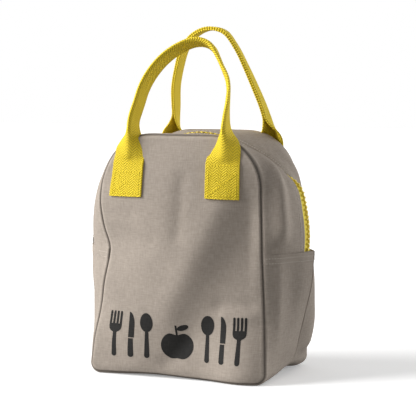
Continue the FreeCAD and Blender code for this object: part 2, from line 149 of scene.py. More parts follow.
class BagColours(PropertyGroup):
    """Colours of the cloth, webbing, zip and print"""

    canvas: FloatVectorProperty(
        name="Canvas", description="Canvas colour", default=(0.335, 0.287, 0.243), size=3, subtype="COLOR"
    )
    lining: FloatVectorProperty(
        name="Lining", description="Lining colour", default=(0.46, 0.44, 0.40), size=3, subtype="COLOR"
    )
    webbing: FloatVectorProperty(
        name="Webbing", description="Handle colour", default=(0.88, 0.66, 0.035), size=3, subtype="COLOR"
    )
    tape: FloatVectorProperty(
        name="Tape", description="Zip tape colour", default=(0.92, 0.68, 0.07), size=3, subtype="COLOR"
    )
    teeth: FloatVectorProperty(
        name="Teeth", description="Zip teeth colour", default=(0.95, 0.70, 0.08), size=3, subtype="COLOR"
    )
    slider: FloatVectorProperty(
        name="Slider", description="Zip slider colour", default=(0.33, 0.31, 0.28), size=3, subtype="COLOR"
    )
    thread: FloatVectorProperty(
        name="Thread", description="Topstitch colour", default=(0.62, 0.56, 0.49), size=3, subtype="COLOR"
    )
    ink: FloatVectorProperty(
        name="Ink", description="Print colour", default=(0.012, 0.011, 0.010), size=3, subtype="COLOR"
    )


class LunchBagSettings(PropertyGroup):
    """All settings of the lunch bag"""

    bag: PointerProperty(type=BagSizes)
    trim: PointerProperty(type=TrimSizes)
    colours: PointerProperty(type=BagColours)


# ------------------------------------------------------------- the bag's shape


def smooth(amount):
    """Eases 0 to 1, held outside."""
    amount = np.clip(amount, 0.0, 1.0)
    return amount * amount * (3.0 - 2.0 * amount)


def flow(stations, values, where):
    """A smooth curve through values at stations, read at where."""
    stations = np.asarray(stations, float)
    values = np.asarray(values, float)
    slopes = np.gradient(values, stations, axis=0)
    where = np.clip(where, stations[0], stations[-1])
    low = np.clip(np.searchsorted(stations, where, side="right") - 1, 0, len(stations) - 2)
    span = stations[low + 1] - stations[low]
    part = (where - stations[low]) / span
    if values.ndim > 1:
        span = span[..., None]
        part = part[..., None]
    square = part * part
    cube = square * part
    return (
        (2 * cube - 3 * square + 1) * values[low]
        + (cube - 2 * square + part) * span * slopes[low]
        + (3 * square - 2 * cube) * values[low + 1]
        + (cube - square) * span * slopes[low + 1]
    )


def bell(value, centre, width):
    """A soft hump, one high at its centre."""
    return np.exp(-(((value - centre) / width) ** 2))


def unit(vectors):
    """Vectors scaled to length one."""
    return vectors / np.maximum(np.linalg.norm(vectors, axis=-1, keepdims=True), 1e-12)


def run_lengths(points):
    """Distance along a line of points, from its first."""
    steps = np.linalg.norm(np.diff(points, axis=0), axis=1)
    return np.concatenate([[0.0], np.cumsum(steps)])


def line_swell(x, z, line):
    """A soft ridge or dip along a straight line on a panel: ((x, z), (x, z), width, height)."""
    (x0, z0), (x1, z1), width, height = line
    dx, dz = x1 - x0, z1 - z0
    along = np.clip(((x - x0) * dx + (z - z0) * dz) / (dx * dx + dz * dz), 0.0, 1.0)
    away = np.hypot(x - x0 - along * dx, z - z0 - along * dz)
    return height * np.exp(-((away / width) ** 2))


# Soft folds of the two panels: start, end, width and height, in metres.
PANEL_FOLDS = {
    FRONT: (
        ((0.078, 0.162), (0.024, 0.055), 0.028, -0.0050),
        ((0.046, 0.176), (-0.008, 0.072), 0.018, 0.0034),
        ((0.052, 0.070), (0.092, 0.066), 0.006, 0.0016),
        ((0.045, 0.080), (0.092, 0.078), 0.007, -0.0014),
        ((0.006, 0.205), (0.002, 0.150), 0.008, -0.0016),
        ((-0.070, 0.150), (-0.030, 0.140), 0.010, -0.0012),
        ((-0.078, 0.176), (-0.050, 0.168), 0.006, -0.0010),
        ((-0.010, 0.016), (0.010, 0.040), 0.010, -0.0018),
        ((-0.040, 0.020), (-0.080, 0.060), 0.016, 0.0014),
    ),
    BACK: (
        ((-0.060, 0.150), (0.020, 0.070), 0.022, -0.0045),
        ((0.050, 0.060), (0.090, 0.080), 0.008, 0.0015),
        ((-0.090, 0.090), (-0.050, 0.080), 0.008, -0.0014),
        ((0.000, 0.210), (0.010, 0.150), 0.010, -0.0016),
        ((0.020, 0.018), (-0.010, 0.050), 0.012, -0.0018),
    ),
}


# The panels taper up to the waist and then keep their width, with a slight swell above it.
WAIST_Z = 0.135
FLARE_POWER = 1.3
UPPER_SWELL, UPPER_SWELL_RUN = -0.0008, 0.060
# The seams stand deeper at the foot and at the top than at the waist.
FOOT_DEPTH = 0.0081
TOP_DEPTH, TOP_DEPTH_RUN, TOP_DEPTH_POWER = 0.0050, 0.116, 1.5
# How far the middle of a panel stands out past its seams, by height.
CROWN_HEIGHTS = (0.0, 0.030, 0.065, 0.131, 0.190, 0.226, PANEL_TOP)
CROWNS = (0.0045, 0.0100, 0.0155, 0.0185, 0.0150, 0.0085, 0.0014)
# Folds fade out towards a seam; the panel's foot is tucked under.
FOLD_MARGIN = 0.014
FOOT_TUCK, FOOT_TUCK_HEIGHT = -0.0030, 0.010
RIPPLE = 0.0004
# How far the gusset's middle line falls short of its widest, by height.
RIDGE_HEIGHTS = (0.0, 0.025, 0.045, 0.065, 0.100, 0.131)
RIDGE_INSETS = (-0.0255, -0.0195, -0.0155, -0.0105, -0.0020, -0.0003)
# Points along each part of a panel's outline.
BASE_STEPS, CORNER_STEPS, SIDE_STEPS, ARCH_STEPS, CREST_STEPS = 30, 10, 58, 25, 14


class BagShape:
    """The outline of the bag's panels and the surfaces between outline, ridge and zip."""

    def __init__(self, settings):
        self.bag = settings.bag
        self.foot = self.bag.seam_roll
        self.arch_z = PANEL_TOP - self.bag.arch_radius
        self.arch_x = self.side_line(self.arch_z) - self.bag.arch_radius
        self.corner_z = self.foot + self.bag.foot_corner
        self.corner_x = self.side_line(self.corner_z) - self.bag.foot_corner

    def side_line(self, z):
        """Half width of a panel between its rounded corners."""
        flare = self.bag.foot_flare * np.maximum(1.0 - z / WAIST_Z, 0.0) ** FLARE_POWER
        return self.bag.side_half + flare + UPPER_SWELL * smooth((z - WAIST_Z) / UPPER_SWELL_RUN)

    def half_width(self, z):
        """Half width of a panel at height z."""
        corner = self.bag.foot_corner
        low = self.corner_x + np.sqrt(np.maximum(corner**2 - (self.corner_z - z) ** 2, 0.0))
        high = self.arch_x + np.sqrt(np.maximum(self.bag.arch_radius**2 - (z - self.arch_z) ** 2, 0.0))
        return np.where(z < self.corner_z, low, np.where(z > self.arch_z, high, self.side_line(z)))

    def seam_depth(self, z):
        """Distance of the seam from the bag's middle plane."""
        low = FOOT_DEPTH * np.maximum(1.0 - z / WAIST_Z, 0.0) ** 2
        high = TOP_DEPTH * np.clip((z - WAIST_Z) / TOP_DEPTH_RUN, 0.0, 1.0) ** TOP_DEPTH_POWER
        return self.bag.seam_depth + low + high

    def edge_distance(self, x, z):
        """Distance inside a panel's outline."""
        x = np.abs(x)
        side = self.side_line(z) - x
        top = PANEL_TOP - z
        low = z - self.foot
        arch = self.bag.arch_radius - np.hypot(x - self.arch_x, z - self.arch_z)
        corner = self.bag.foot_corner - np.hypot(x - self.corner_x, z - self.corner_z)
        distance = np.minimum(np.minimum(side, top), low)
        distance = np.where((x > self.arch_x) & (z > self.arch_z), arch, distance)
        distance = np.where((x > self.corner_x) & (z < self.corner_z), corner, distance)
        return np.maximum(distance, 0.0)

    def roll(self, distance):
        """Height of a turned edge at a distance from its seam."""
        radius = self.bag.seam_roll
        return np.sqrt(np.maximum(radius**2 - (radius - np.minimum(distance, radius)) ** 2, 0.0))

    def panel_depth(self, x, z, side):
        """Depth of a panel's outer face in front of the bag's middle plane."""
        crown = flow(CROWN_HEIGHTS, CROWNS, z)
        across = 1.0 - (x / self.half_width(z)) ** 2
        edge = self.edge_distance(x, z)
        folds = sum(line_swell(x, z, line) for line in PANEL_FOLDS[side])
        ripple = RIPPLE * np.sin(61.0 * x + 23.0 * z + side) * np.sin(47.0 * z - 31.0 * x)
        tuck = FOOT_TUCK * np.maximum(1.0 - z / FOOT_TUCK_HEIGHT, 0.0) ** 2
        return (
            self.seam_depth(z)
            + self.roll(edge)
            + crown * across
            + (folds + ripple) * smooth(edge / FOLD_MARGIN)
            + tuck
        )

    def ridge_half(self, z):
        """Half width of the gusset at its middle line."""
        corner = self.bag.foot_corner
        below = np.maximum(self.corner_z - z, 0.0)
        inside = corner - np.sqrt(np.maximum(corner**2 - below**2, 0.0))
        return RIDGE_HALF + flow(RIDGE_HEIGHTS, RIDGE_INSETS, z) - inside

    def outline(self, start_z, end_z):
        """Points of the right half of a panel's outline, as x and z, upwards from start_z to end_z."""
        corner = self.bag.foot_corner
        bend = np.radians(np.linspace(-90.0, 0.0, CORNER_STEPS))
        sweep = np.radians(np.linspace(0.0, 90.0, ARCH_STEPS))
        rise = np.linspace(self.corner_z, self.arch_z, SIDE_STEPS)[1:-1]
        base_x = np.linspace(0.0, self.corner_x, BASE_STEPS)[:-1]
        crest_x = np.linspace(self.arch_x, 0.0, CREST_STEPS)[1:]
        x = np.concatenate(
            [
                base_x,
                self.corner_x + corner * np.cos(bend),
                self.side_line(rise),
                self.arch_x + self.bag.arch_radius * np.cos(sweep),
                crest_x,
            ]
        )
        z = np.concatenate(
            [
                np.full(base_x.shape, self.foot),
                self.corner_z + corner * np.sin(bend),
                rise,
                self.arch_z + self.bag.arch_radius * np.sin(sweep),
                np.full(crest_x.shape, PANEL_TOP),
            ]
        )
        keep = (z >= start_z - 1e-6) & (z <= end_z + 1e-6)
        return x[keep], z[keep]


# Where the foot lifts off the floor: (x, y), (width in x, width in y) and height. It fades out upwards.
FOOT_LIFTS = (
    ((-0.030, -0.062), (0.034, 0.020), 0.0022),
    ((0.095, 0.000), (0.032, 0.034), 0.0080),
    ((-0.092, 0.010), (0.022, 0.026), 0.0030),
    ((0.030, 0.062), (0.040, 0.020), 0.0030),
)
FOOT_LIFT_REACH = 0.055
# The lower front leans forward at the right, most of all at this x.
PUSH, PUSH_X, PUSH_WIDTH, PUSH_HEIGHT = 0.0150, 0.072, 0.034, 0.050
# The left side of the front spreads at the foot and below the shoulder and is pinched at the hem.
FOOT_SPLAY, FOOT_SPLAY_TOP, FOOT_SPLAY_RUN = -0.0050, 0.080, 0.050
SHOULDER_SPLAY, SHOULDER_SPLAY_Z, SHOULDER_SPLAY_WIDTH = -0.0055, 0.182, 0.026
PINCH, PINCH_Z, PINCH_ABOVE, PINCH_BELOW = 0.0060, 0.132, 0.016, 0.026
# The right rear sways out low down.
SWAY, SWAY_Z, SWAY_WIDTH = 0.0045, 0.050, 0.045
# The zip swells outwards at the right, at this angle about its centre.
ZIP_SWELL, ZIP_SWELL_ANGLE, ZIP_SWELL_WIDTH = 0.0064, 0.56, 0.18
ZIP_SWELL_FRONT, ZIP_SWELL_BACK = 0.026, 0.012
# Where each zone starts, and the run over which it grows to its full.
FRONT_FROM, FRONT_RUN = 0.020, 0.040
LEFT_FROM, LEFT_RUN = 0.020, 0.060
REAR_FROM_X, REAR_RUN_X = 0.040, 0.050
REAR_FROM_Y, REAR_RUN_Y = -0.010, 0.040


def settle(points):
    """Lets the finished cloth sag: an uneven foot, and a lower front that pushes forward at the right."""
    x, y, z = points[..., 0], points[..., 1], points[..., 2]
    low = np.maximum(1.0 - z / FOOT_LIFT_REACH, 0.0) ** 2
    lift = sum(
        height * bell(x, middle_x, width_x) * bell(y, middle_y, width_y)
        for (middle_x, middle_y), (width_x, width_y), height in FOOT_LIFTS
    )
    front = smooth((-y - FRONT_FROM) / FRONT_RUN)
    push = PUSH * bell(x, PUSH_X, PUSH_WIDTH) * bell(z, 0.0, PUSH_HEIGHT) * front
    left = smooth((-x - LEFT_FROM) / LEFT_RUN) * front
    splay = FOOT_SPLAY * smooth((FOOT_SPLAY_TOP - z) / FOOT_SPLAY_RUN)
    splay = splay + SHOULDER_SPLAY * bell(z, SHOULDER_SPLAY_Z, SHOULDER_SPLAY_WIDTH)
    pinch = PINCH * bell(z, PINCH_Z, np.where(z > PINCH_Z, PINCH_ABOVE, PINCH_BELOW))
    rear = smooth((x - REAR_FROM_X) / REAR_RUN_X) * smooth((y - REAR_FROM_Y) / REAR_RUN_Y)
    sway = SWAY * bell(z, SWAY_Z, SWAY_WIDTH) * rear
    angle = np.arctan2(z - MOUTH_Z, np.maximum(x, 1e-6))
    near_zip = bell(y, 0.0, np.where(y < 0.0, ZIP_SWELL_FRONT, ZIP_SWELL_BACK)) * (x > 0.0)
    swell = ZIP_SWELL * bell(angle, ZIP_SWELL_ANGLE, ZIP_SWELL_WIDTH) * near_zip
    moved = points.copy()
    moved[..., 0] = x + (splay + pinch) * left + sway + swell * np.cos(angle)
    moved[..., 1] = y - push
    moved[..., 2] = z + lift * low + swell * np.sin(angle)
    return moved


# ------------------------------------------------------------- mesh helpers


def grid_piece(name, points, uv, side, edge=None):
    """A mesh of quads on a grid of points that faces away from the bag's middle."""
    rows, columns = points.shape[:2]
    index = np.arange(rows * columns).reshape(rows, columns)
    corners = [index[:-1, :-1], index[:-1, 1:], index[1:, 1:], index[1:, :-1]]
    if side == BACK:
        points = points * FRONT_TO_BACK
        corners.reverse()
    faces = np.stack(corners, axis=-1).reshape(-1, 4)
    mesh = bpy.data.meshes.new(name)
    mesh.from_pydata(settle(points).reshape(-1, 3).tolist(), [], faces.tolist())
    lay_uv(mesh, uv.reshape(-1, 2))
    if edge is not None:
        layer = mesh.attributes.new("edge", "FLOAT", "POINT")
        layer.data.foreach_set("value", edge.astype(np.float32).ravel())
    return link_piece(name, mesh)


def lay_uv(mesh, places):
    """Gives each vertex of a mesh its place on the flat cloth, in metres."""
    layer = mesh.uv_layers.new(name="cloth")
    corners = np.zeros(len(mesh.loops), np.int32)
    mesh.loops.foreach_get("vertex_index", corners)
    layer.data.foreach_set("uv", places[corners].astype(np.float32).ravel())


def link_piece(name, mesh):
    """A smooth-shaded object for a mesh, in the scene."""
    mesh.shade_smooth()
    piece = bpy.data.objects.new(name, mesh)
    bpy.context.scene.collection.objects.link(piece)
    return piece


def settle_modifiers(piece):
    """Turns a piece with modifiers into a plain mesh."""
    graph = bpy.context.evaluated_depsgraph_get()
    graph.update()
    mesh = bpy.data.meshes.new_from_object(
        piece.evaluated_get(graph), preserve_all_data_layers=True, depsgraph=graph
    )
    piece.modifiers.clear()
    piece.data = mesh
    return piece


CUT_EDGE_ANGLE = math.radians(50.0)
CAST_EDGE_ANGLE = math.radians(40.0)
SELVEDGE_ANGLE = math.radians(55.0)


def thicken(piece, thickness):
    """Gives a sheet its thickness, inwards, and marks its cut edges sharp."""
    wall = piece.modifiers.new("Cloth", "SOLIDIFY")
    wall.thickness = thickness
    wall.offset = -1.0
    settle_modifiers(piece)
    piece.data.set_sharp_from_angle(angle=CUT_EDGE_ANGLE)
    return piece


def turn_with_flap(piece):
    """Bakes a cloth piece's placement into its mesh."""
    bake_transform(piece)
    return piece


def paint(piece, material):
    """Puts one material on a piece."""
    piece.data.materials.clear()
    piece.data.materials.append(material)
    return piece


# ------------------------------------------------------------- node helpers


def new_group(name, inputs, outputs):
    """A shader node group with float or vector sockets, with its own input and output nodes."""
    group = bpy.data.node_groups.new(name, "ShaderNodeTree")
    for label, kind, default in inputs:
        socket = group.interface.new_socket(name=label, in_out="INPUT", socket_type=kind)
        if default is not None:
            socket.default_value = default
    for label in outputs:
        group.interface.new_socket(name=label, in_out="OUTPUT", socket_type="NodeSocketFloat")
    source = group.nodes.new("NodeGroupInput")
    result = group.nodes.new("NodeGroupOutput")
    return group, source.outputs, result.inputs


def math_node(tree, operation, first, second=None, third=None):
    """One math node; a number or a socket goes into each input."""
    node = tree.nodes.new("ShaderNodeMath")
    node.operation = operation
    for slot, value in enumerate((first, second, third)):
        if value is None:
            continue
        if isinstance(value, (int, float)):
            node.inputs[slot].default_value = value
        else:
            tree.links.new(value, node.inputs[slot])
    return node.outputs[0]


def noise_node(tree, vector, scale, detail, roughness=0.5):
    """One noise texture's value."""
    node = tree.nodes.new("ShaderNodeTexNoise")
    node.inputs["Scale"].default_value = scale
    node.inputs["Detail"].default_value = detail
    node.inputs["Roughness"].default_value = roughness
    tree.links.new(vector, node.inputs["Vector"])
    return node.outputs[0]


def stretched(tree, vector, scale):
    """A vector scaled by its own amount on each axis."""
    node = tree.nodes.new("ShaderNodeVectorMath")
    node.operation = "MULTIPLY"
    node.inputs[1].default_value = scale
    tree.links.new(vector, node.inputs[0])
    return node.outputs[0]


def humps(tree, value):
    """Rounded humps one high, one for each whole step of a value."""
    half_turns = math_node(tree, "MULTIPLY", value, math.pi)
    return math_node(tree, "ABSOLUTE", math_node(tree, "SINE", half_turns))


def placed_group(tree, group, vector):
    """A shader node group set in a tree and fed with a vector."""
    node = tree.nodes.new("ShaderNodeGroup")
    node.node_tree = group
    tree.links.new(vector, node.inputs["Vector"])
    return node


SLUBS_ALONG, SLUBS_ACROSS = (120.0, 900.0, 1.0), (900.0, 120.0, 1.0)


def plain_weave_group():
    """Over-and-under threads: Height of the threads and a Shade for each thread's tone."""
    name = "Plain Weave"
    if name in bpy.data.node_groups:
        return bpy.data.node_groups[name]
    inputs = (("Vector", "NodeSocketVector", None), ("Thread", "NodeSocketFloat", 0.0006))
    group, source, result = new_group(name, inputs, ("Height", "Shade"))
    parts = group.nodes.new("ShaderNodeSeparateXYZ")
    group.links.new(source["Vector"], parts.inputs[0])
    warp = math_node(group, "DIVIDE", parts.outputs[0], source["Thread"])
    weft = math_node(group, "DIVIDE", parts.outputs[1], source["Thread"])
    cell = math_node(group, "ADD", math_node(group, "FLOOR", warp), math_node(group, "FLOOR", weft))
    turn = math_node(group, "FLOORED_MODULO", cell, 2.0)
    warp_arc, weft_arc = humps(group, warp), humps(group, weft)
    over = math_node(group, "MULTIPLY", warp_arc, math_node(group, "MULTIPLY_ADD", weft_arc, 0.5, 0.5))
    under = math_node(group, "MULTIPLY", weft_arc, math_node(group, "MULTIPLY_ADD", warp_arc, 0.5, 0.5))
    over_part = math_node(group, "MULTIPLY", over, turn)
    under_part = math_node(group, "MULTIPLY", under, math_node(group, "SUBTRACT", 1.0, turn))
    group.links.new(math_node(group, "ADD", over_part, under_part), result["Height"])
    slubs = noise_node(group, stretched(group, source["Vector"], SLUBS_ALONG), 1.0, 2.0)
    cross = noise_node(group, stretched(group, source["Vector"], SLUBS_ACROSS), 1.0, 2.0)
    both = math_node(group, "ADD", slubs, cross)
    group.links.new(math_node(group, "MULTIPLY", both, 0.5), result["Shade"])
    return group


def herringbone_group():
    """Chevron twill columns: Height of the yarns and a Shade that varies along them."""
    name = "Herringbone Twill"
    if name in bpy.data.node_groups:
        return bpy.data.node_groups[name]
    inputs = (
        ("Vector", "NodeSocketVector", None),
        ("Column", "NodeSocketFloat", 0.0048),
        ("Yarn", "NodeSocketFloat", 0.0026),
    )
    group, source, result = new_group(name, inputs, ("Height", "Shade"))
    parts = group.nodes.new("ShaderNodeSeparateXYZ")
    group.links.new(source["Vector"], parts.inputs[0])
    across = math_node(group, "DIVIDE", parts.outputs[0], source["Column"])
    along = math_node(group, "DIVIDE", parts.outputs[1], source["Yarn"])
    slant = math_node(group, "PINGPONG", across, 1.0)
    steepness, strands, strand_depth = 1.6, 6.0, 0.3
    yarn = humps(group, math_node(group, "MULTIPLY_ADD", slant, steepness, along))
    beat = humps(group, math_node(group, "MULTIPLY", across, strands))
    strand = math_node(group, "MULTIPLY_ADD", beat, strand_depth, 1.0 - strand_depth)
    group.links.new(math_node(group, "MULTIPLY", yarn, strand), result["Height"])
    grain = (500.0, 900.0, 1.0)
    tone = noise_node(group, stretched(group, source["Vector"], grain), 1.0, 2.0)
    group.links.new(tone, result["Shade"])
    return group


def mottle_group():
    """Slow and fine tone changes of used cloth, from the piece's own place."""
    name = "Cloth Mottle"
    if name in bpy.data.node_groups:
        return bpy.data.node_groups[name]
    inputs = (("Vector", "NodeSocketVector", None), ("Slow", "NodeSocketFloat", 14.0))
    group, source, result = new_group(name, inputs, ("Tone",))
    slow = group.nodes.new("ShaderNodeTexNoise")
    slow.inputs["Detail"].default_value = 3.0
    group.links.new(source["Vector"], slow.inputs["Vector"])
    group.links.new(source["Slow"], slow.inputs["Scale"])
    fine_scale, slow_share = 260.0, 0.6
    fine = noise_node(group, source["Vector"], fine_scale, 3.0)
    fine = math_node(group, "MULTIPLY", fine, 1.0 - slow_share)
    tone = math_node(group, "MULTIPLY_ADD", slow.outputs[0], slow_share, fine)
    group.links.new(tone, result["Tone"])
    return group


def start_material(name, roughness):
    """A material with its Principled shader, and its node tree."""
    material = bpy.data.materials.new(name)
    material.use_nodes = True
    tree = material.node_tree
    shader = tree.nodes["Principled BSDF"]
    shader.inputs["Roughness"].default_value = roughness
    shader.inputs["Specular IOR Level"].default_value = 0.25
    return material, tree, shader


def blend_colours(tree, factor, dark, light):
    """A colour between two, by a factor that changes over the surface."""
    mix = tree.nodes.new("ShaderNodeMix")
    mix.data_type = "RGBA"
    mix.inputs["A"].default_value = (*dark, 1.0)
    mix.inputs["B"].default_value = (*light, 1.0)
    tree.links.new(factor, mix.inputs["Factor"])
    return mix.outputs["Result"]


def bump(tree, shader, height, distance, strength):
    """Feeds a height into the shader's normal."""
    node = tree.nodes.new("ShaderNodeBump")
    node.inputs["Distance"].default_value = distance
    node.inputs["Strength"].default_value = strength
    tree.links.new(height, node.inputs["Height"])
    tree.links.new(node.outputs[0], shader.inputs["Normal"])


def tinted(colour, amount):
    """A colour made lighter or darker."""
    return tuple(min(1.0, part * amount) for part in colour)


def cloth_material(name, colour, thread, contrast, roughness, uses_edge):
    """Plain-woven cloth with slubs, slow mottling and, at the seams, wear and painted shade in the groove."""
    if name in bpy.data.materials:
        return bpy.data.materials[name]
    material, tree, shader = start_material(name, roughness)
    places = tree.nodes.new("ShaderNodeTexCoord")
    weave = placed_group(tree, plain_weave_group(), places.outputs["UV"])
    weave.inputs["Thread"].default_value = thread
    mottle = placed_group(tree, mottle_group(), places.outputs["Object"])
    slubs, mottling, threads, middle = 2.4, 1.6, 0.35, -1.65
    tone = math_node(tree, "MULTIPLY_ADD", weave.outputs["Shade"], slubs, middle)
    tone = math_node(tree, "MULTIPLY_ADD", mottle.outputs["Tone"], mottling, tone)
    tone = math_node(tree, "MULTIPLY_ADD", weave.outputs["Height"], threads, tone)
    colours = blend_colours(tree, tone, tinted(colour, 1.0 - contrast), tinted(colour, 1.0 + contrast))
    if uses_edge:
        # The edge attribute scales the colour: painted shade in the seam's groove, wear on the roll beside
        # it.
        edge = tree.nodes.new("ShaderNodeAttribute")
        edge.attribute_name = "edge"
        wear_and_groove_shade = tree.nodes.new("ShaderNodeVectorMath")
        wear_and_groove_shade.operation = "SCALE"
        tree.links.new(colours, wear_and_groove_shade.inputs[0])
        tree.links.new(math_node(tree, "ADD", edge.outputs["Fac"], 1.0), wear_and_groove_shade.inputs["Scale"])
        colours = wear_and_groove_shade.outputs[0]
    tree.links.new(colours, shader.inputs["Base Color"])
    rough = math_node(tree, "MULTIPLY_ADD", weave.outputs["Height"], -0.12, roughness + 0.06)
    tree.links.new(rough, shader.inputs["Roughness"])
    bump(tree, shader, weave.outputs["Height"], thread * 0.35, 0.45)
    return material


def webbing_material(name, colour):
    """Herringbone cotton webbing."""
    if name in bpy.data.materials:
        return bpy.data.materials[name]
    material, tree, shader = start_material(name, 0.75)
    places = tree.nodes.new("ShaderNodeTexCoord")
    twill = placed_group(tree, herringbone_group(), places.outputs["UV"])
    grain, yarns, middle = 0.5, 0.75, -0.15
    tone = math_node(tree, "MULTIPLY_ADD", twill.outputs["Shade"], grain, middle)
    tone = math_node(tree, "MULTIPLY_ADD", twill.outputs["Height"], yarns, tone)
    colours = blend_colours(tree, tone, tinted(colour, 0.58), tinted(colour, 1.12))
    tree.links.new(colours, shader.inputs["Base Color"])
    rough = math_node(tree, "MULTIPLY_ADD", twill.outputs["Height"], -0.15, 0.85)
    tree.links.new(rough, shader.inputs["Roughness"])
    bump(tree, shader, twill.outputs["Height"], 0.0009, 0.8)
    return material


def moulded_material(name, colour, roughness, metallic=0.0, coat=0.0):
    """Moulded or enamelled parts with a slightly uneven gloss."""
    if name in bpy.data.materials:
        return bpy.data.materials[name]
    material, tree, shader = start_material(name, roughness)
    shader.inputs["Metallic"].default_value = metallic
    shader.inputs["Coat Weight"].default_value = coat
    places = tree.nodes.new("ShaderNodeTexCoord")
    scuff_scale, uneven = 900.0, 0.25
    scuffs = noise_node(tree, places.outputs["Object"], scuff_scale, 3.0, 0.6)
    colours = blend_colours(tree, scuffs, tinted(colour, 0.82), tinted(colour, 1.15))
    tree.links.new(colours, shader.inputs["Base Color"])
    rough = math_node(tree, "MULTIPLY_ADD", scuffs, uneven, roughness - 0.12)
    tree.links.new(rough, shader.inputs["Roughness"])
    bump(tree, shader, scuffs, 0.00015, 0.2)
    return material


def thread_material(name, colour):
    """Twisted sewing thread."""
    if name in bpy.data.materials:
        return bpy.data.materials[name]
    material, tree, shader = start_material(name, 0.7)
    places = tree.nodes.new("ShaderNodeTexCoord")
    ply_scale = 2600.0
    plies = noise_node(tree, places.outputs["Object"], ply_scale, 2.0)
    colours = blend_colours(tree, plies, tinted(colour, 0.7), tinted(colour, 1.2))
    tree.links.new(colours, shader.inputs["Base Color"])
    bump(tree, shader, plies, 0.0002, 0.5)
    return material


def canvas(settings):
    """The canvas of the shell."""
    return cloth_material("canvas_cloth", settings.colours.canvas, 0.00075, 0.17, 0.86, True)


def lining_cloth(settings):
    """The thin cloth of the lining."""
    return cloth_material("lining_cloth", settings.colours.lining, 0.0005, 0.12, 0.8, False)


def zip_tape_cloth(settings):
    """The woven tape of the zip."""
    return cloth_material("zip_tape_cloth", settings.colours.tape, 0.0006, 0.25, 0.7, False)


def printed_ink(settings):
    """Ink that lies in the canvas weave."""
    return cloth_material("print_ink", settings.colours.ink, 0.00075, 0.5, 0.7, False)


# ------------------------------------------------------------- canvas pieces


def edge_steps(half, first_steps, stride):
    """Distances from an edge to the middle: small steps first, then even ones."""
    rest = half - first_steps[-1]
    count = max(2, int(round(rest / stride)))
    return np.concatenate([first_steps, first_steps[-1] + np.linspace(0.0, rest, count + 1)[1:]])


# Rows of cloth beside a seam, as distances from it; further in they are this far apart.
PANEL_STRIDE, STRIP_STRIDE = 0.0026, 0.0024
SEAM_STEPS = (0.0, 0.00015, 0.0004, 0.0008, 0.0013, 0.0018, 0.0023, 0.0030, 0.0042, 0.0060, 0.0085)


def seam_wear_and_painted_shade(distance):
    """Painted shade down in a seam's groove and wear on the roll beside it."""
    # The groove's darkening is painted shade; the lighter band on the roll is wear.
    shade, groove_width = -0.50, 0.0006
    wear, wear_place, wear_width = 0.16, 0.0022, 0.0012
    return shade * bell(distance, 0.0, groove_width) + wear * bell(distance, wear_place, wear_width)


def panel_grid(shape):
    """Rows and columns of x and z that follow a panel's outline."""
    corner_rows, side_rows, arch_rows = 10, 72, 28
    bend = np.radians(np.linspace(0.0, 90.0, corner_rows))
    sweep = np.radians(np.linspace(0.0, 90.0, arch_rows))
    rows = np.concatenate(
        [
            shape.foot + shape.bag.foot_corner * (1.0 - np.cos(bend)),
            np.linspace(shape.corner_z, shape.arch_z, side_rows)[1:-1],
            shape.arch_z + shape.bag.arch_radius * np.sin(sweep),
        ]
    )
    widest = shape.side_line(shape.arch_z)
    steps = edge_steps(widest, SEAM_STEPS, PANEL_STRIDE)
    right = 1.0 - steps[:-1] / widest
    across = np.concatenate([-right, [0.0], right[::-1]])
    z = np.repeat(rows[:, None], len(across), axis=1)
    return across[None, :] * shape.half_width(z), z


def build_panel(settings, side, inset=0.0):
    """The points of one panel, and the same panel's flat places and edge wear."""
    shape = BagShape(settings)
    x, z = panel_grid(shape)
    shrink = 1.0 - inset / settings.bag.side_half
    x, z = x * shrink, shape.foot + inset + (z - shape.foot) * (1.0 - 2.0 * inset / PANEL_TOP)
    depth = shape.panel_depth(x, z, side) - inset
    points = np.stack([x, -depth, z], axis=-1)
    return points, np.stack([x, z], axis=-1), seam_wear_and_painted_shade(shape.edge_distance(x, z))


class LUNCHBAG_OT_panels(Operator):
    """Cut and shape the front and back canvas panels"""

    bl_idname = "lunchbag.panels"
    bl_label = "Canvas Panels"

    def execute(self, context):
        settings = context.scene.lunch_bag
        for side, name in SIDE_NAMES.items():
            points, uv, edge = build_panel(settings, side)
            piece = grid_piece(name + "_panel", points, uv, side, edge)
            paint(thicken(piece, settings.bag.cloth), canvas(settings))
            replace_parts(piece, name + "_panel_lower", name + "_panel_upper")
            turn_with_flap(piece)
        return {"FINISHED"}


class Rails:
    """Two lines that a strip of cloth spans, with its outward direction and width at each point."""

    def __init__(self, seam, far, chain=None):
        self.seam = seam
        self.far = far
        self.chain = chain
        self.across = far - seam
        self.width = np.linalg.norm(self.across, axis=1)
        along = np.gradient(seam, axis=0) + np.gradient(far, axis=0)
        self.out = unit(np.cross(self.across, along))
        self.run = run_lengths((seam + far) / 2)

    def spread(self, share, lift):
        """Points at shares of the width, lifted outwards."""
        flat = self.seam[:, None, :] + self.across[:, None, :] * share[..., None]
        return flat + self.out[:, None, :] * lift[..., None]

    def places(self, share):
        """The same points on the flat cloth, in metres."""
        along = np.repeat(self.run[:, None], share.shape[1], axis=1)
        return np.stack([share * self.width[:, None], along], axis=-1)


def gusset_rails(shape):
    """The seam and the middle line of the gusset's front half, from left hem over the foot to right hem."""
    x, z = shape.outline(0.0, MOUTH_Z)
    x, z = np.append(x, shape.half_width(np.array(MOUTH_Z))), np.append(z, MOUTH_Z)
    ridge_x = x * shape.ridge_half(z) / shape.half_width(z)
    seam = np.stack([x, -shape.seam_depth(z), z], axis=-1)
    ridge = np.stack([ridge_x, np.zeros_like(x), z], axis=-1)
    seam = np.concatenate([seam[::-1] * LEFT_TO_RIGHT, seam[1:]])
    ridge = np.concatenate([ridge[::-1] * LEFT_TO_RIGHT, ridge[1:]])
    return Rails(seam, ridge)


# The gusset's end stands off the strips under it by the lap, over a short run. Its fullness fades in above
# the foot, and its left and right shapes blend across the middle.
HEM_LAP, HEM_RUN = 0.0007, 0.0035
UPRIGHT_RUN, RIGHT_RUN = 0.020, 0.02
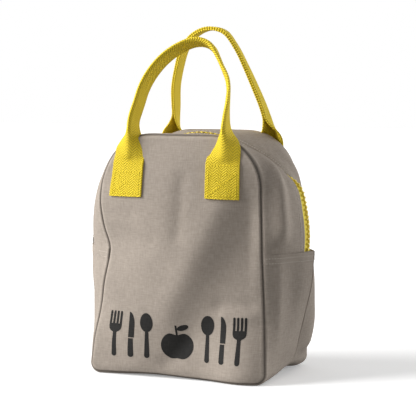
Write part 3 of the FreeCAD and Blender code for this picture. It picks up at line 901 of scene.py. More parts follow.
# How far the gusset bellies out between seam and middle line, by height: at the left and at the right.
FULL_HEIGHTS = (0.0, 0.040, 0.075, 0.110, MOUTH_Z)
FULL_LEFT = (0.0, 0.0055, 0.0075, 0.0060, 0.0045)
FULL_RIGHT = {
    FRONT: (0.0, 0.0035, 0.0045, 0.0045, 0.0045),
    BACK: (0.0, 0.0085, 0.0100, 0.0060, 0.0016),
}


def gusset_lift(shape, rails, share, side, lap):
    """How far the gusset stands off the straight line from seam to ridge."""
    x, z = rails.seam[:, 0][:, None], rails.seam[:, 2][:, None]
    upright = smooth((z - shape.corner_z) / UPRIGHT_RUN)
    hump = 4.0 * share * (1.0 - share)
    right = smooth(x / RIGHT_RUN)
    full_left = flow(FULL_HEIGHTS, FULL_LEFT, z)
    full_right = flow(FULL_HEIGHTS, FULL_RIGHT[side], z)
    fullness = full_left * (1.0 - right) + full_right * right
    hollow = -0.0022 * bell(share, 0.55, 0.16) * bell(z, 0.095, 0.030)
    crease = 0.0018 * right * bell(share, 0.25, 0.10) * bell(z, 0.085, 0.045)
    hem_start = MOUTH_Z - shape.bag.hem - 0.003
    hem = lap * smooth((z - hem_start) / HEM_RUN)
    return shape.roll(share * rails.width[:, None]) + upright * (fullness * hump + hollow + crease) + hem


def seam_shares(rails, end_steps=(0.0,)):
    """Shares of the width with small steps at the seam and, if asked, at the far edge."""
    width = float(rails.width.mean())
    far = np.asarray(end_steps)[::-1]
    steps = edge_steps(width - far[0], SEAM_STEPS, STRIP_STRIDE)
    steps = np.concatenate([steps[:-1], width - far])
    return np.repeat((steps / width)[None, :], len(rails.width), axis=0)


class LUNCHBAG_OT_gusset(Operator):
    """Lay the long gusset strip round the foot and the lower sides"""

    bl_idname = "lunchbag.gusset"
    bl_label = "Lower Gusset"

    def execute(self, context):
        settings = context.scene.lunch_bag
        shape = BagShape(settings)
        for side, name in SIDE_NAMES.items():
            rails = gusset_rails(shape)
            share = seam_shares(rails)
            points = rails.spread(share, gusset_lift(shape, rails, share, side, HEM_LAP))
            edge = seam_wear_and_painted_shade(share * rails.width[:, None])
            piece = grid_piece("gusset_" + name + "_half", points, rails.places(share), side, edge)
            paint(thicken(piece, settings.bag.cloth), canvas(settings))
            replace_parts(piece, "gusset_lower")
            turn_with_flap(piece)
        return {"FINISHED"}


# The zip's line, by angle from the right end to the top: how far it leaves its circle, how far the slot's
# edges stand out past it, and half the slot's width.
ZIP_ANGLES = (0.0, 0.35, 0.55, 0.80, 1.10, 1.35, math.pi / 2)
ZIP_DIPS = (-0.0002, 0.0036, 0.0030, -0.0030, -0.0030, 0.0010, 0.0025)
SLOT_RISES = (0.0, 0.0, 0.0002, 0.0030, 0.0012, 0.0002, 0.0)
SLOT_HALVES = {
    FRONT: (0.0095, 0.0095, 0.0072, 0.0024, 0.0024, 0.0036, 0.0048),
    BACK: (0.0058, 0.0058, 0.0050, 0.0034, 0.0034, 0.0040, 0.0050),
}


def zip_line(shape, share):
    """The zip's own line at shares of its run from the right end to the top: radius and angle."""
    angle = share * math.pi / 2
    return shape.bag.mouth_radius + flow(ZIP_ANGLES, ZIP_DIPS, angle), angle


# Heights of a zip strip's folds: its stand above the hem, the crest beside the seam, the brim beside the zip
# and its sag at the top. The back strip has the same folds, but lower, and fuller corners.
STRIP_STAND_LEFT, STRIP_STAND_RIGHT = 0.0062, 0.0045
STRIP_CREST, STRIP_BRIM, STRIP_SAG = 0.0085, 0.0035, -0.0016
BACK_FOLD_SHARE, BACK_CORNER = 0.35, 0.002
# The strip's edge turns down into the slot.
LIP_TURN, LIP_DROP = 0.0014, 0.0011


def arch_points(radius, angle, depth):
    """Points about the zip's centre, at a depth from the bag's middle plane."""
    depth = np.broadcast_to(depth, angle.shape)
    return np.stack([radius * np.cos(angle), depth, MOUTH_Z + radius * np.sin(angle)], axis=-1)


CHAIN_DEPTH = -0.0007


def strip_rails(shape, side):
    """The seam and the slot's edge of one zip strip, from the right end over the top to the left end."""
    x, z = shape.outline(MOUTH_Z, PANEL_TOP)
    x = np.append(x[::-1], shape.half_width(np.array(MOUTH_Z)))
    z = np.append(z[::-1], MOUTH_Z)
    seam = np.stack([x, -shape.seam_depth(z), z], axis=-1)[::-1]
    run = run_lengths(seam)
    radius, angle = zip_line(shape, run / run[-1])
    slot_edge = radius + flow(ZIP_ANGLES, SLOT_RISES, angle)
    mouth = arch_points(slot_edge, angle, -flow(ZIP_ANGLES, SLOT_HALVES[side], angle))
    chain = arch_points(radius, angle, CHAIN_DEPTH)
    under_hem = np.array((0.0, 0.0, -(shape.bag.hem - 0.001)))

    def whole(line):
        """The line with its start tucked under the hem, and its mirrored left half."""
        line = np.concatenate([[line[0] + under_hem], line])
        return np.concatenate([line, line[:-1][::-1] * LEFT_TO_RIGHT])

    return Rails(whole(seam), whole(mouth), whole(chain))


def strip_lift(shape, rails, share, side):
    """How far a zip strip stands off the straight line from seam to slot."""
    x, z = rails.far[:, 0][:, None], rails.far[:, 2][:, None]
    angle = np.degrees(np.arctan2(z - MOUTH_Z, np.abs(x)))
    low_zone = smooth(angle / 14.0) * (1.0 - smooth((angle - 38.0) / 24.0))
    corner_zone = bell(angle, 48.0, 22.0)
    top_zone = smooth((angle - 62.0) / 20.0)
    right = smooth(x / RIGHT_RUN)
    stand = np.where(x < 0.0, STRIP_STAND_LEFT, STRIP_STAND_RIGHT)
    foot = stand * 4.0 * share * (1.0 - share) * (1.0 - smooth((angle - 30.0) / 35.0))
    crest = STRIP_CREST * right * bell(share, 0.36, 0.20)
    brim = STRIP_BRIM * bell(share, 0.78, 0.16)
    arc_across = np.sin(math.pi * share)
    folds = foot + low_zone * crest + corner_zone * brim + top_zone * STRIP_SAG * arc_across
    if side == BACK:
        folds = BACK_FOLD_SHARE * folds + corner_zone * BACK_CORNER * arc_across
    distance = (1.0 - share) * rails.width[:, None]
    short = 1.0 - np.minimum(distance / LIP_TURN, 1.0)
    lip = -LIP_DROP * (1.0 - np.sqrt(np.maximum(1.0 - short**2, 0.0)))
    return shape.roll(share * rails.width[:, None]) * (1.0 - share) + folds + lip


# Rows of cloth where a strip turns in at the slot, as distances from its edge.
SLOT_STEPS = (0.0, 0.0002, 0.0005, 0.0009, 0.0014, 0.0022)


class LUNCHBAG_OT_zip_strips(Operator):
    """Cut the two curved canvas strips that hold the zip"""

    bl_idname = "lunchbag.zip_strips"
    bl_label = "Zip Strips"

    def execute(self, context):
        settings = context.scene.lunch_bag
        shape = BagShape(settings)
        for side, name in SIDE_NAMES.items():
            rails = strip_rails(shape, side)
            share = seam_shares(rails, SLOT_STEPS)
            points = rails.spread(share, strip_lift(shape, rails, share, side))
            edge = seam_wear_and_painted_shade(share * rails.width[:, None])
            piece = grid_piece("zip_strip_" + name, points, rails.places(share), side, edge)
            paint(thicken(piece, settings.bag.cloth), canvas(settings))
            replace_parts(piece, "zipper_strip_" + name, "zipper_strip_ends")
            turn_with_flap(piece)
        return {"FINISHED"}


# ------------------------------------------------------------- zip


def chain_line(shape, count, lift=0.0):
    """Points of the zip's middle line, from the right end over the top to the left end."""
    share = np.linspace(0.0, 2.0, count)
    radius, angle = zip_line(shape, 1.0 - np.abs(1.0 - share))
    angle = np.where(share > 1.0, math.pi - angle, angle)
    return arch_points(radius + lift, angle, 0.0)


# The tape's hidden rows as shares of the strip's width, and every row's place across the flat tape.
TAPE_SHARES = np.array((1.0, 0.965, 0.92, 0.87))
TAPE_PLACES = np.array((0.0, 0.0028, 0.0056, 0.0080, 0.0110, 0.0140))
TAPE_BELOW_EDGE, TAPE_BELOW_CANVAS, TAPE_CROWN = -0.0021, 0.0016, 0.0003
TAPE_THICKNESS = 0.0007


def tape_piece(settings, shape, side):
    """One half of the zip tape, from its edge at the teeth to under the canvas."""
    rails = strip_rails(shape, side)
    share = np.repeat(TAPE_SHARES[None, :], len(rails.width), axis=0)
    under = rails.spread(share, strip_lift(shape, rails, share, side) - TAPE_BELOW_CANVAS)
    edge_lift = np.full((len(rails.width), 1), TAPE_BELOW_EDGE)
    under[:, 0] = rails.spread(share[:, :1], edge_lift)[:, 0]
    middle = (rails.chain + under[:, 0]) / 2 + rails.out * TAPE_CROWN
    points = np.concatenate([under[:, ::-1], middle[:, None], rails.chain[:, None]], axis=1)
    along = np.repeat(rails.run[:, None], len(TAPE_PLACES), axis=1)
    across = np.repeat(TAPE_PLACES[None, :], len(rails.run), axis=0)
    piece = grid_piece("zip_tape_" + SIDE_NAMES[side], points, np.stack([across, along], axis=-1), side)
    return paint(thicken(piece, TAPE_THICKNESS), zip_tape_cloth(settings))


# A tooth's outline along the zip and across it, root to head; half its height and its rounding.
TOOTH_OUTLINE = (
    (-0.0009, -0.0030), (0.0009, -0.0030), (0.0009, -0.0010), (0.0013, 0.0004),
    (0.0010, 0.0013), (-0.0010, 0.0013), (-0.0013, 0.0004), (-0.0009, -0.0010),
)
TOOTH_HALF, TOOTH_ROUNDING = 0.0011, 0.00045
# The teeth's line: its points, how far it stands out from the zip's line and off the bag's middle.
CHAIN_POINTS, CHAIN_LIFT, CHAIN_OFFSET = 180, 0.0002, 0.0006


def tooth_mesh():
    """One moulded tooth: a clamped root and a rounded head that reaches over the middle."""
    mesh = bpy.data.meshes.new("tooth")
    form = bmesh.new()
    lower = [form.verts.new((x, y, -TOOTH_HALF)) for x, y in TOOTH_OUTLINE]
    upper = [form.verts.new((x, y, TOOTH_HALF)) for x, y in TOOTH_OUTLINE]
    form.faces.new(lower[::-1])
    form.faces.new(upper)
    for i in range(len(lower)):
        j = (i + 1) % len(lower)
        form.faces.new((lower[i], lower[j], upper[j], upper[i]))
    rims = [edge for edge in form.edges if edge.verts[0].co.z * edge.verts[1].co.z > 0]
    bmesh.ops.bevel(form, geom=rims, offset=TOOTH_ROUNDING, segments=1, affect="EDGES")
    bmesh.ops.recalc_face_normals(form, faces=form.faces)
    form.to_mesh(mesh)
    form.free()
    return mesh


def new_geometry_tree(name, inputs):
    """A geometry node tree with named inputs, its group nodes made."""
    tree = bpy.data.node_groups.new(name, "GeometryNodeTree")
    tree.interface.new_socket(name="Geometry", in_out="INPUT", socket_type="NodeSocketGeometry")
    for label, kind in inputs:
        tree.interface.new_socket(name=label, in_out="INPUT", socket_type=kind)
    tree.interface.new_socket(name="Geometry", in_out="OUTPUT", socket_type="NodeSocketGeometry")
    source = tree.nodes.new("NodeGroupInput")
    result = tree.nodes.new("NodeGroupOutput")
    return tree, source.outputs, result.inputs


def line_points(tree, geometry, pitch):
    """Even points along the tree's lines."""
    link = tree.links.new
    to_curve = tree.nodes.new("GeometryNodeMeshToCurve")
    link(geometry, to_curve.inputs["Mesh"])
    resample = tree.nodes.new("GeometryNodeResampleCurve")
    resample.mode = "LENGTH"
    link(to_curve.outputs["Curve"], resample.inputs["Curve"])
    link(pitch, resample.inputs["Length"])
    return resample.outputs["Curve"]


def finish_rows(tree, instances, result, material):
    """Ends a tree with plain geometry in one material."""
    realize = tree.nodes.new("GeometryNodeRealizeInstances")
    shade = tree.nodes.new("GeometryNodeSetMaterial")
    smooth_faces = tree.nodes.new("GeometryNodeSetShadeSmooth")
    tree.links.new(instances, realize.inputs[0])
    tree.links.new(realize.outputs[0], smooth_faces.inputs["Geometry"])
    tree.links.new(smooth_faces.outputs[0], shade.inputs["Geometry"])
    tree.links.new(material, shade.inputs["Material"])
    tree.links.new(shade.outputs[0], result["Geometry"])


def teeth_tree():
    """Teeth set at an even pitch along a line, each turned with the line about Y."""
    name = "Zip Teeth"
    if name in bpy.data.node_groups:
        return bpy.data.node_groups[name]
    inputs = (
        ("Pitch", "NodeSocketFloat"),
        ("Tooth", "NodeSocketObject"),
        ("Material", "NodeSocketMaterial"),
    )
    tree, source, result = new_geometry_tree(name, inputs)
    points = line_points(tree, source["Geometry"], source["Pitch"])
    tooth = tree.nodes.new("GeometryNodeObjectInfo")
    tree.links.new(source["Tooth"], tooth.inputs["Object"])
    tangent = tree.nodes.new("GeometryNodeInputTangent")
    align = tree.nodes.new("FunctionNodeAlignRotationToVector")
    align.axis = "X"
    align.pivot_axis = "Y"
    tree.links.new(tangent.outputs[0], align.inputs["Vector"])
    place = tree.nodes.new("GeometryNodeInstanceOnPoints")
    tree.links.new(points, place.inputs["Points"])
    tree.links.new(tooth.outputs["Geometry"], place.inputs["Instance"])
    tree.links.new(align.outputs[0], place.inputs["Rotation"])
    finish_rows(tree, place.outputs[0], result, source["Material"])
    return tree


def stitch_tree():
    """Short lengths of thread at an even pitch along lines, with a little unevenness."""
    name = "Stitch Rows"
    if name in bpy.data.node_groups:
        return bpy.data.node_groups[name]
    inputs = (
        ("Pitch", "NodeSocketFloat"),
        ("Length", "NodeSocketFloat"),
        ("Thread", "NodeSocketFloat"),
        ("Material", "NodeSocketMaterial"),
    )
    tree, source, result = new_geometry_tree(name, inputs)
    points = line_points(tree, source["Geometry"], source["Pitch"])
    ball = tree.nodes.new("GeometryNodeMeshUVSphere")
    ball.inputs["Segments"].default_value = 6
    ball.inputs["Rings"].default_value = 4
    ball.inputs["Radius"].default_value = 0.5
    size = tree.nodes.new("ShaderNodeCombineXYZ")
    tree.links.new(source["Thread"], size.inputs[0])
    tree.links.new(source["Thread"], size.inputs[1])
    tree.links.new(source["Length"], size.inputs[2])
    form = tree.nodes.new("GeometryNodeTransform")
    tree.links.new(ball.outputs["Mesh"], form.inputs["Geometry"])
    tree.links.new(size.outputs[0], form.inputs["Scale"])
    tangent = tree.nodes.new("GeometryNodeInputTangent")
    align = tree.nodes.new("FunctionNodeAlignRotationToVector")
    align.axis = "Z"
    tree.links.new(tangent.outputs[0], align.inputs["Vector"])
    uneven = tree.nodes.new("FunctionNodeRandomValue")
    uneven.data_type = "FLOAT_VECTOR"
    uneven.inputs["Min"].default_value = (0.85, 0.85, 0.88)
    uneven.inputs["Max"].default_value = (1.1, 1.1, 1.06)
    uneven.inputs["Seed"].default_value = 7
    place = tree.nodes.new("GeometryNodeInstanceOnPoints")
    tree.links.new(points, place.inputs["Points"])
    tree.links.new(form.outputs[0], place.inputs["Instance"])
    tree.links.new(align.outputs[0], place.inputs["Rotation"])
    tree.links.new(uneven.outputs[0], place.inputs["Scale"])
    finish_rows(tree, place.outputs[0], result, source["Material"])
    return tree


def rows_piece(name, lines, tree, values):
    """A piece made by a geometry tree on lines of points, as a plain mesh."""
    mesh = bpy.data.meshes.new(name)
    points, edges = [], []
    for line in lines:
        first = len(points)
        points.extend(np.asarray(line, float).tolist())
        edges.extend((first + i, first + i + 1) for i in range(len(line) - 1))
    mesh.from_pydata(points, edges, [])
    piece = bpy.data.objects.new(name, mesh)
    bpy.context.scene.collection.objects.link(piece)
    rows = piece.modifiers.new("Rows", "NODES")
    rows.node_group = tree
    sockets = {
        item.name: item.identifier
        for item in tree.interface.items_tree
        if item.item_type == "SOCKET" and item.in_out == "INPUT"
    }
    for label, value in values.items():
        rows[sockets[label]] = value
    return settle_modifiers(piece)


def stitch_rows(name, lines, settings, material):
    """Rows of stitches along lines."""
    trim = settings.trim
    values = {
        "Pitch": trim.stitch_pitch,
        "Length": trim.stitch_length,
        "Thread": trim.thread,
        "Material": material,
    }
    return rows_piece(name, lines, stitch_tree(), values)


class LUNCHBAG_OT_zip(Operator):
    """Lay the zip's two tapes and set their moulded teeth"""

    bl_idname = "lunchbag.zip"
    bl_label = "Zip"

    def execute(self, context):
        settings = context.scene.lunch_bag
        shape = BagShape(settings)
        material = moulded_material("moulded_teeth", settings.colours.teeth, 0.35, coat=0.2)
        for side, name in SIDE_NAMES.items():
            tape = tape_piece(settings, shape, side)
            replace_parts(tape, "zipper_tape_" + name, "zipper_tape_ends")
            turn_with_flap(tape)
            mesh = tooth_mesh()
            if side == BACK:
                mesh.transform(Matrix.Scale(-1.0, 4, (0.0, 1.0, 0.0)))
                mesh.flip_normals()
            tooth = bpy.data.objects.new("tooth", mesh)
            bpy.context.scene.collection.objects.link(tooth)
            lead = 0.5 if side == FRONT else 1.0
            line = trimmed(chain_line(shape, CHAIN_POINTS, CHAIN_LIFT), settings.trim.tooth_pitch * lead)
            line[:, 1] = side * CHAIN_OFFSET
            line = settle(line)
            values = {"Pitch": settings.trim.tooth_pitch, "Tooth": tooth, "Material": material}
            teeth = rows_piece("zip_teeth_" + name, [line], teeth_tree(), values)
            bpy.data.objects.remove(tooth)
            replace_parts(teeth, "zipper_chain_" + name, "zipper_chain_ends")
            turn_with_flap(teeth)
        for node in ("zipper_top_stops", "zipper_bottom_stop"):
            paint(frame["nodes"][node], material)
        return {"FINISHED"}


def trimmed(line, distance):
    """The line with a length taken off both its ends."""
    run = run_lengths(line)
    places = np.linspace(distance, run[-1] - distance, len(line))
    return np.stack([np.interp(places, run, line[:, axis]) for axis in range(3)], axis=-1)


# ------------------------------------------------------------- slider and pull


def plate(form, outline, low, high, place):
    """A flat plate between two levels, from an outline of 2D points put in place by a function."""
    bottom = [form.verts.new(place(a, b, low)) for a, b in outline]
    top = [form.verts.new(place(a, b, high)) for a, b in outline]
    form.faces.new(bottom)
    form.faces.new(top[::-1])
    for i in range(len(outline)):
        j = (i + 1) % len(outline)
        form.faces.new((bottom[i], top[i], top[j], bottom[j]))


def bevelled_piece(name, form, width):
    """Turns a bmesh into a piece with softened edges."""
    bmesh.ops.recalc_face_normals(form, faces=form.faces)
    mesh = bpy.data.meshes.new(name)
    form.to_mesh(mesh)
    form.free()
    piece = link_piece(name, mesh)
    soften = piece.modifiers.new("Soften", "BEVEL")
    soften.width = width
    soften.segments = 2
    soften.limit_method = "ANGLE"
    settle_modifiers(piece)
    piece.data.set_sharp_from_angle(angle=CAST_EDGE_ANGLE)
    return piece


def ring_outline(half_long, half_wide, corner, steps=5):
    """A rounded rectangle round the origin."""
    points = []
    for quarter, (sx, sy) in enumerate(((1, 1), (-1, 1), (-1, -1), (1, -1))):
        cx, cy = sx * (half_long - corner), sy * (half_wide - corner)
        for i in range(steps + 1):
            a = math.pi / 2 * (quarter + i / steps)
            points.append((cx + corner * math.cos(a), cy + corner * math.sin(a)))
    return points


def frame_plate(form, outer, inner, low, high, place):
    """A flat plate with one opening, between two levels."""
    outer_low, outer_high, inner_low, inner_high = (
        [form.verts.new(place(a, b, level)) for a, b in line]
        for line in (outer, inner)
        for level in (low, high)
    )
    for i in range(len(outer)):
        j = (i + 1) % len(outer)
        form.faces.new((outer_low[i], outer_high[i], outer_high[j], outer_low[j]))
        form.faces.new((inner_low[j], inner_high[j], inner_high[i], inner_low[i]))
        form.faces.new((outer_high[i], inner_high[i], inner_high[j], outer_high[j]))
        form.faces.new((outer_low[j], inner_low[j], inner_low[i], outer_low[i]))


def slider_form():
    """The slider: two waisted plates, the post between them, their flanges and a bridge for the pull."""
    middle_z = (SLIDER_LOW.z + SLIDER_HIGH.z) / 2
    half_long = (SLIDER_HIGH.z - SLIDER_LOW.z) / 2
    half_wide = SLIDER_HIGH.y
    bridge_room, bridge_sunk = 0.0032, 0.0002
    inner = -SLIDER_HIGH.x
    upper = -SLIDER_LOW.x - bridge_room

    def out_of_zip(along, across, level):
        """A place on the slider, its level measured outwards."""
        return (-level, across, middle_z + along)

    def over_the_back(along, level, across):
        """A place on the bridge, its level measured from the upper plate."""
        return (-(upper - bridge_sunk + level), across, middle_z + along)

    form = bmesh.new()
    flank, waist, mouth, tail, corner_power, least = [], 0.74, 0.26, 0.3, 5, 0.25
    for i in range(17):
        part = math.cos(math.pi * i / 16)
        opening = waist + mouth * math.sin(math.pi / 2 * part) ** 2 * (1 if part > 0 else tail)
        rounding = math.sqrt(max(0.0, 1.0 - abs(part) ** corner_power))
        flank.append((half_long * part, half_wide * opening * max(rounding, least)))
    outline = flank + [(a, -b) for a, b in reversed(flank)]
    plate_thickness, post_sunk, post_back = 0.0014, 0.0010, 0.0030
    plate(form, outline, inner, inner + plate_thickness, out_of_zip)
    plate(form, outline, upper - plate_thickness, upper, out_of_zip)
    post = [(a + half_long - post_back, b) for a, b in ring_outline(0.0022, 0.0010, 0.0009)]
    plate(form, post, inner + post_sunk, upper - post_sunk, out_of_zip)
    flange, flange_sunk, flange_drop = 0.0009, 0.0008, 0.0026
    tail_end, mouth_end = -half_long * 0.85, half_long * 0.55
    for edge in (half_wide * 0.78, -half_wide * 0.78 - flange):
        wall = [(tail_end, edge), (mouth_end, edge), (mouth_end, edge + flange), (tail_end, edge + flange)]
        plate(form, wall, upper - flange_drop, upper - flange_sunk, out_of_zip)
        plate(form, wall, inner + flange_sunk, inner + flange_drop, out_of_zip)
    bridge_half, squareness = 0.0012, 0.7
    turns = [math.pi * i / 12 for i in range(13)]
    bridge = [(0.0044 * math.cos(a), 0.0030 * math.sin(a) ** squareness) for a in turns]
    bridge += [(0.0031 * math.cos(a), 0.0019 * math.sin(a)) for a in reversed(turns)]
    plate(form, bridge, -bridge_half, bridge_half, over_the_back)
    return form


def pull_form():
    """The pull: an eye round the bridge and a longer framed grip below it."""
    thick, step = 0.0016, 0.0001
    face = PULL_LOW.x + thick

    def hanging(along, across, level):
        """A place on the pull, measured down from its top and outwards."""
        return (face - level, across, PULL_HIGH.z + along)

    def framed(half_long, half_wide, corner, middle):
        """A rounded frame's outline round a middle further down the pull."""
        return [(a - middle, b) for a, b in ring_outline(half_long, half_wide, corner)]

    form = bmesh.new()
    eye, eye_half_wide, eye_bar, lap = 0.0086, 0.0034, 0.0012, 0.0008
    outer = framed(eye / 2, eye_half_wide, 0.0026, eye / 2)
    inner = framed(eye / 2 - eye_bar, eye_half_wide - eye_bar, 0.0016, eye / 2)
    frame_plate(form, outer, inner, 0.0, thick, hanging)
    grip = PULL_HIGH.z - PULL_LOW.z - eye + lap
    grip_middle = eye - lap + grip / 2
    outer = framed(grip / 2, PULL_HIGH.y, 0.0034, grip_middle)
    inner = framed(grip / 2 - 0.0024, 0.0017, 0.0015, grip_middle)
    frame_plate(form, outer, inner, step, thick - step, hanging)
    return form


class LUNCHBAG_OT_slider(Operator):
    """Make the zip's slider and its pull"""

    bl_idname = "lunchbag.slider"
    bl_label = "Slider and Pull"

    def execute(self, context):
        settings = context.scene.lunch_bag
        material = moulded_material("cast_slider", settings.colours.slider, 0.32, metallic=0.85, coat=0.1)
        parts = (
            ("slider_body", slider_form(), 0.0002, "zipper_slider", "slider"),
            ("slider_pull", pull_form(), 0.00025, "zipper_pull", "pull"),
        )
        for name, form, softness, node, body in parts:
            piece = paint(bevelled_piece(name, form, softness), material)
            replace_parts(piece, node)
            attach(piece, body)
        return {"FINISHED"}


# ------------------------------------------------------------- lining


LINING_INSET = 0.0030
LINING_STRIP_SHARE = 0.86


class LUNCHBAG_OT_lining(Operator):
    """Hang the lining inside the canvas"""

    bl_idname = "lunchbag.lining"
    bl_label = "Lining"

    def execute(self, context):
        settings = context.scene.lunch_bag
        shape = BagShape(settings)
        material = lining_cloth(settings)
        for side, name in SIDE_NAMES.items():
            points, uv, _ = build_panel(settings, side, LINING_INSET)
            panel = grid_piece("lining_" + name + "_panel", points, uv, side)
            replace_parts(thicken(panel, settings.bag.lining), "lining_" + name + "_upper", "lining_lower")
            rails = gusset_rails(shape)
            share = seam_shares(rails)
            points = rails.spread(share, gusset_lift(shape, rails, share, side, 0.0) - LINING_INSET)
            points[..., 2] = np.maximum(points[..., 2], LINING_INSET)
            tub = grid_piece("lining_" + name + "_tub", points, rails.places(share), side)
            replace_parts(thicken(tub, settings.bag.lining), "lining_lower")
            rails = strip_rails(shape, side)
            share = seam_shares(rails) * LINING_STRIP_SHARE
            points = rails.spread(share, strip_lift(shape, rails, share, side) - LINING_INSET)
            strip = grid_piece("lining_" + name + "_strip", points, rails.places(share), side)
            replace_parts(thicken(strip, settings.bag.lining), "lining_strip_" + name)
            for piece in (panel, tub, strip):
                paint(piece, material)
                turn_with_flap(piece)
        return {"FINISHED"}


# ------------------------------------------------------------- handles

# The free part of each handle, seen from the front: x and z in metres.
HANDLE_ROUTES = {
    FRONT: (
        (-0.0545, 0.236), (-0.0546, 0.256), (-0.0543, 0.267), (-0.0500, 0.285), (-0.0470, 0.2975),
        (-0.0370, 0.3175), (-0.0240, 0.332), (-0.0075, 0.3426), (0.0055, 0.347), (0.0150, 0.347),
        (0.0245, 0.343), (0.0330, 0.332), (0.0395, 0.321), (0.0465, 0.308), (0.0483, 0.3006),
        (0.0488, 0.285), (0.0481, 0.270), (0.0482, 0.258), (0.0500, 0.238),
    ),
    BACK: (
        (-0.0544, 0.247), (-0.0504, 0.273), (-0.0474, 0.300), (-0.0418, 0.319), (-0.0325, 0.3405),
        (-0.0180, 0.3555), (-0.0025, 0.361), (0.0140, 0.3575), (0.0250, 0.3425), (0.0346, 0.321),
        (0.0428, 0.2997), (0.0500, 0.2794), (0.0543, 0.263), (0.0573, 0.247),
    ),
}
# At these shares of a handle's length: how far it is closed along its fold (0 flat, 1 closed) and how far it
# is turned about its line, in degrees.
FOLD_STATIONS = (
    0.0, 0.085, 0.11, 0.137, 0.162, 0.178, 0.20, 0.24, 0.40, 0.52,
    0.62, 0.70, 0.765, 0.80, 0.822, 0.838, 0.863, 0.89, 0.915, 1.0,
)
HANDLE_CLOSED = {
    FRONT: (
        0.0, 0.0, 0.22, 0.36, 0.58, 0.74, 0.86, 0.88, 0.90, 0.94,
        1.0, 1.0, 0.97, 0.90, 0.76, 0.58, 0.36, 0.22, 0.0, 0.0,
    ),
    BACK: (
        0.0, 0.0, 0.22, 0.36, 0.60, 0.80, 0.96, 1.0, 1.0, 1.0,
        1.0, 1.0, 1.0, 0.96, 0.80, 0.60, 0.36, 0.22, 0.0, 0.0,
    ),
}
HANDLE_TURNED = {
    FRONT: (
        0.0, 0.0, 0.0, 0.0, 0.0, 0.0, 0.0, 0.0, 2.0, 4.0,
        12.0, 20.0, 12.0, 6.0, 2.0, 0.0, 0.0, 0.0, 0.0, 0.0,
    ),
    BACK: (
        0.0, 0.0, 0.0, 0.0, 0.0, 0.0, 0.0, -4.0, -12.0, -16.0,
        -14.0, -8.0, -4.0, 0.0, 0.0, 0.0, 0.0, 0.0, 0.0, 0.0,
    ),
}
LEFT_TAB, RIGHT_TAB = -TAB_CENTRE - 0.0045, TAB_CENTRE - 0.0025
# The webbing is sewn down up to here and is free of the panel a little higher, blending between.
SEWN_TO = TAB_HIGH.z
FREE_FROM = SEWN_TO + 0.018
HANDLE_LEAN = 0.268
HANDLE_STATIONS, HANDLE_SMOOTHING, TAB_STATIONS = 240, 3, 5
WEBBING_CLEARANCE = 0.00015
# The folded webbing: points across it, the gap between its closed halves, and where its crease lies.
ACROSS_STATIONS, FOLD_GAP, CREASE_RADIUS, CREASE_SHARE = 31, 0.53, 0.0010, 0.42
# Its rounded selvedge and woven ribs.
SELVEDGE, SELVEDGE_THINNING, RIB_COUNT, RIB_HEIGHT = 0.0007, 0.70, 8.0, 0.05
SLOPE_STEP = 0.004


def handle_depth(shape, x, z, side, lift):
    """Depth of a handle's middle layer: on the panel where it is sewn, then leaning over the mouth."""
    on_panel = shape.panel_depth(x, np.minimum(z, PANEL_TOP), side) + lift
    leaning = abs(HANDLE_PIVOT[1]) - (z - HANDLE_PIVOT[2]) * HANDLE_LEAN
    free = smooth((z - SEWN_TO) / (FREE_FROM - SEWN_TO))
    return on_panel * (1.0 - free) + leaning * free


def handle_route(shape, side, lift):
    """Even points along a handle's middle, from its left tab over the top to its right tab."""
    rise = np.linspace(TAB_LOW.z, SEWN_TO, TAB_STATIONS)
    left = [(LEFT_TAB, z) for z in rise]
    right = [(RIGHT_TAB, z) for z in rise[::-1]]
    flat = np.array(left + list(HANDLE_ROUTES[side]) + right)
    run = run_lengths(flat)
    places = np.linspace(0.0, run[-1], HANDLE_STATIONS)
    x, z = flow(run, flat, places).T
    for _ in range(HANDLE_SMOOTHING):
        x[1:-1] = (x[:-2] + 2 * x[1:-1] + x[2:]) / 4
        z[1:-1] = (z[:-2] + 2 * z[1:-1] + z[2:]) / 4
    return np.stack([x, -handle_depth(shape, x, z, side, lift), z], axis=-1)


def folded_section(half, closed, layer):
    """The webbing's middle line across its width: across and outward places for each station."""
    places = half * np.sin(np.linspace(-math.pi / 2, math.pi / 2, ACROSS_STATIONS))
    bend = math.pi / 2 * closed[:, None]
    gap = layer * FOLD_GAP
    across = places * np.cos(bend) + gap * np.sin(bend) * np.tanh(places / gap)
    inward = np.sqrt(places**2 + CREASE_RADIUS**2) - CREASE_RADIUS
    return places, across, np.sin(bend) * (half * CREASE_SHARE - inward)


def panel_slope(shape, x, z, side):
    """How much deeper a panel gets towards the right."""
    ahead, behind = shape.panel_depth(x + SLOPE_STEP, z, side), shape.panel_depth(x - SLOPE_STEP, z, side)
    return (ahead - behind) / (2 * SLOPE_STEP)


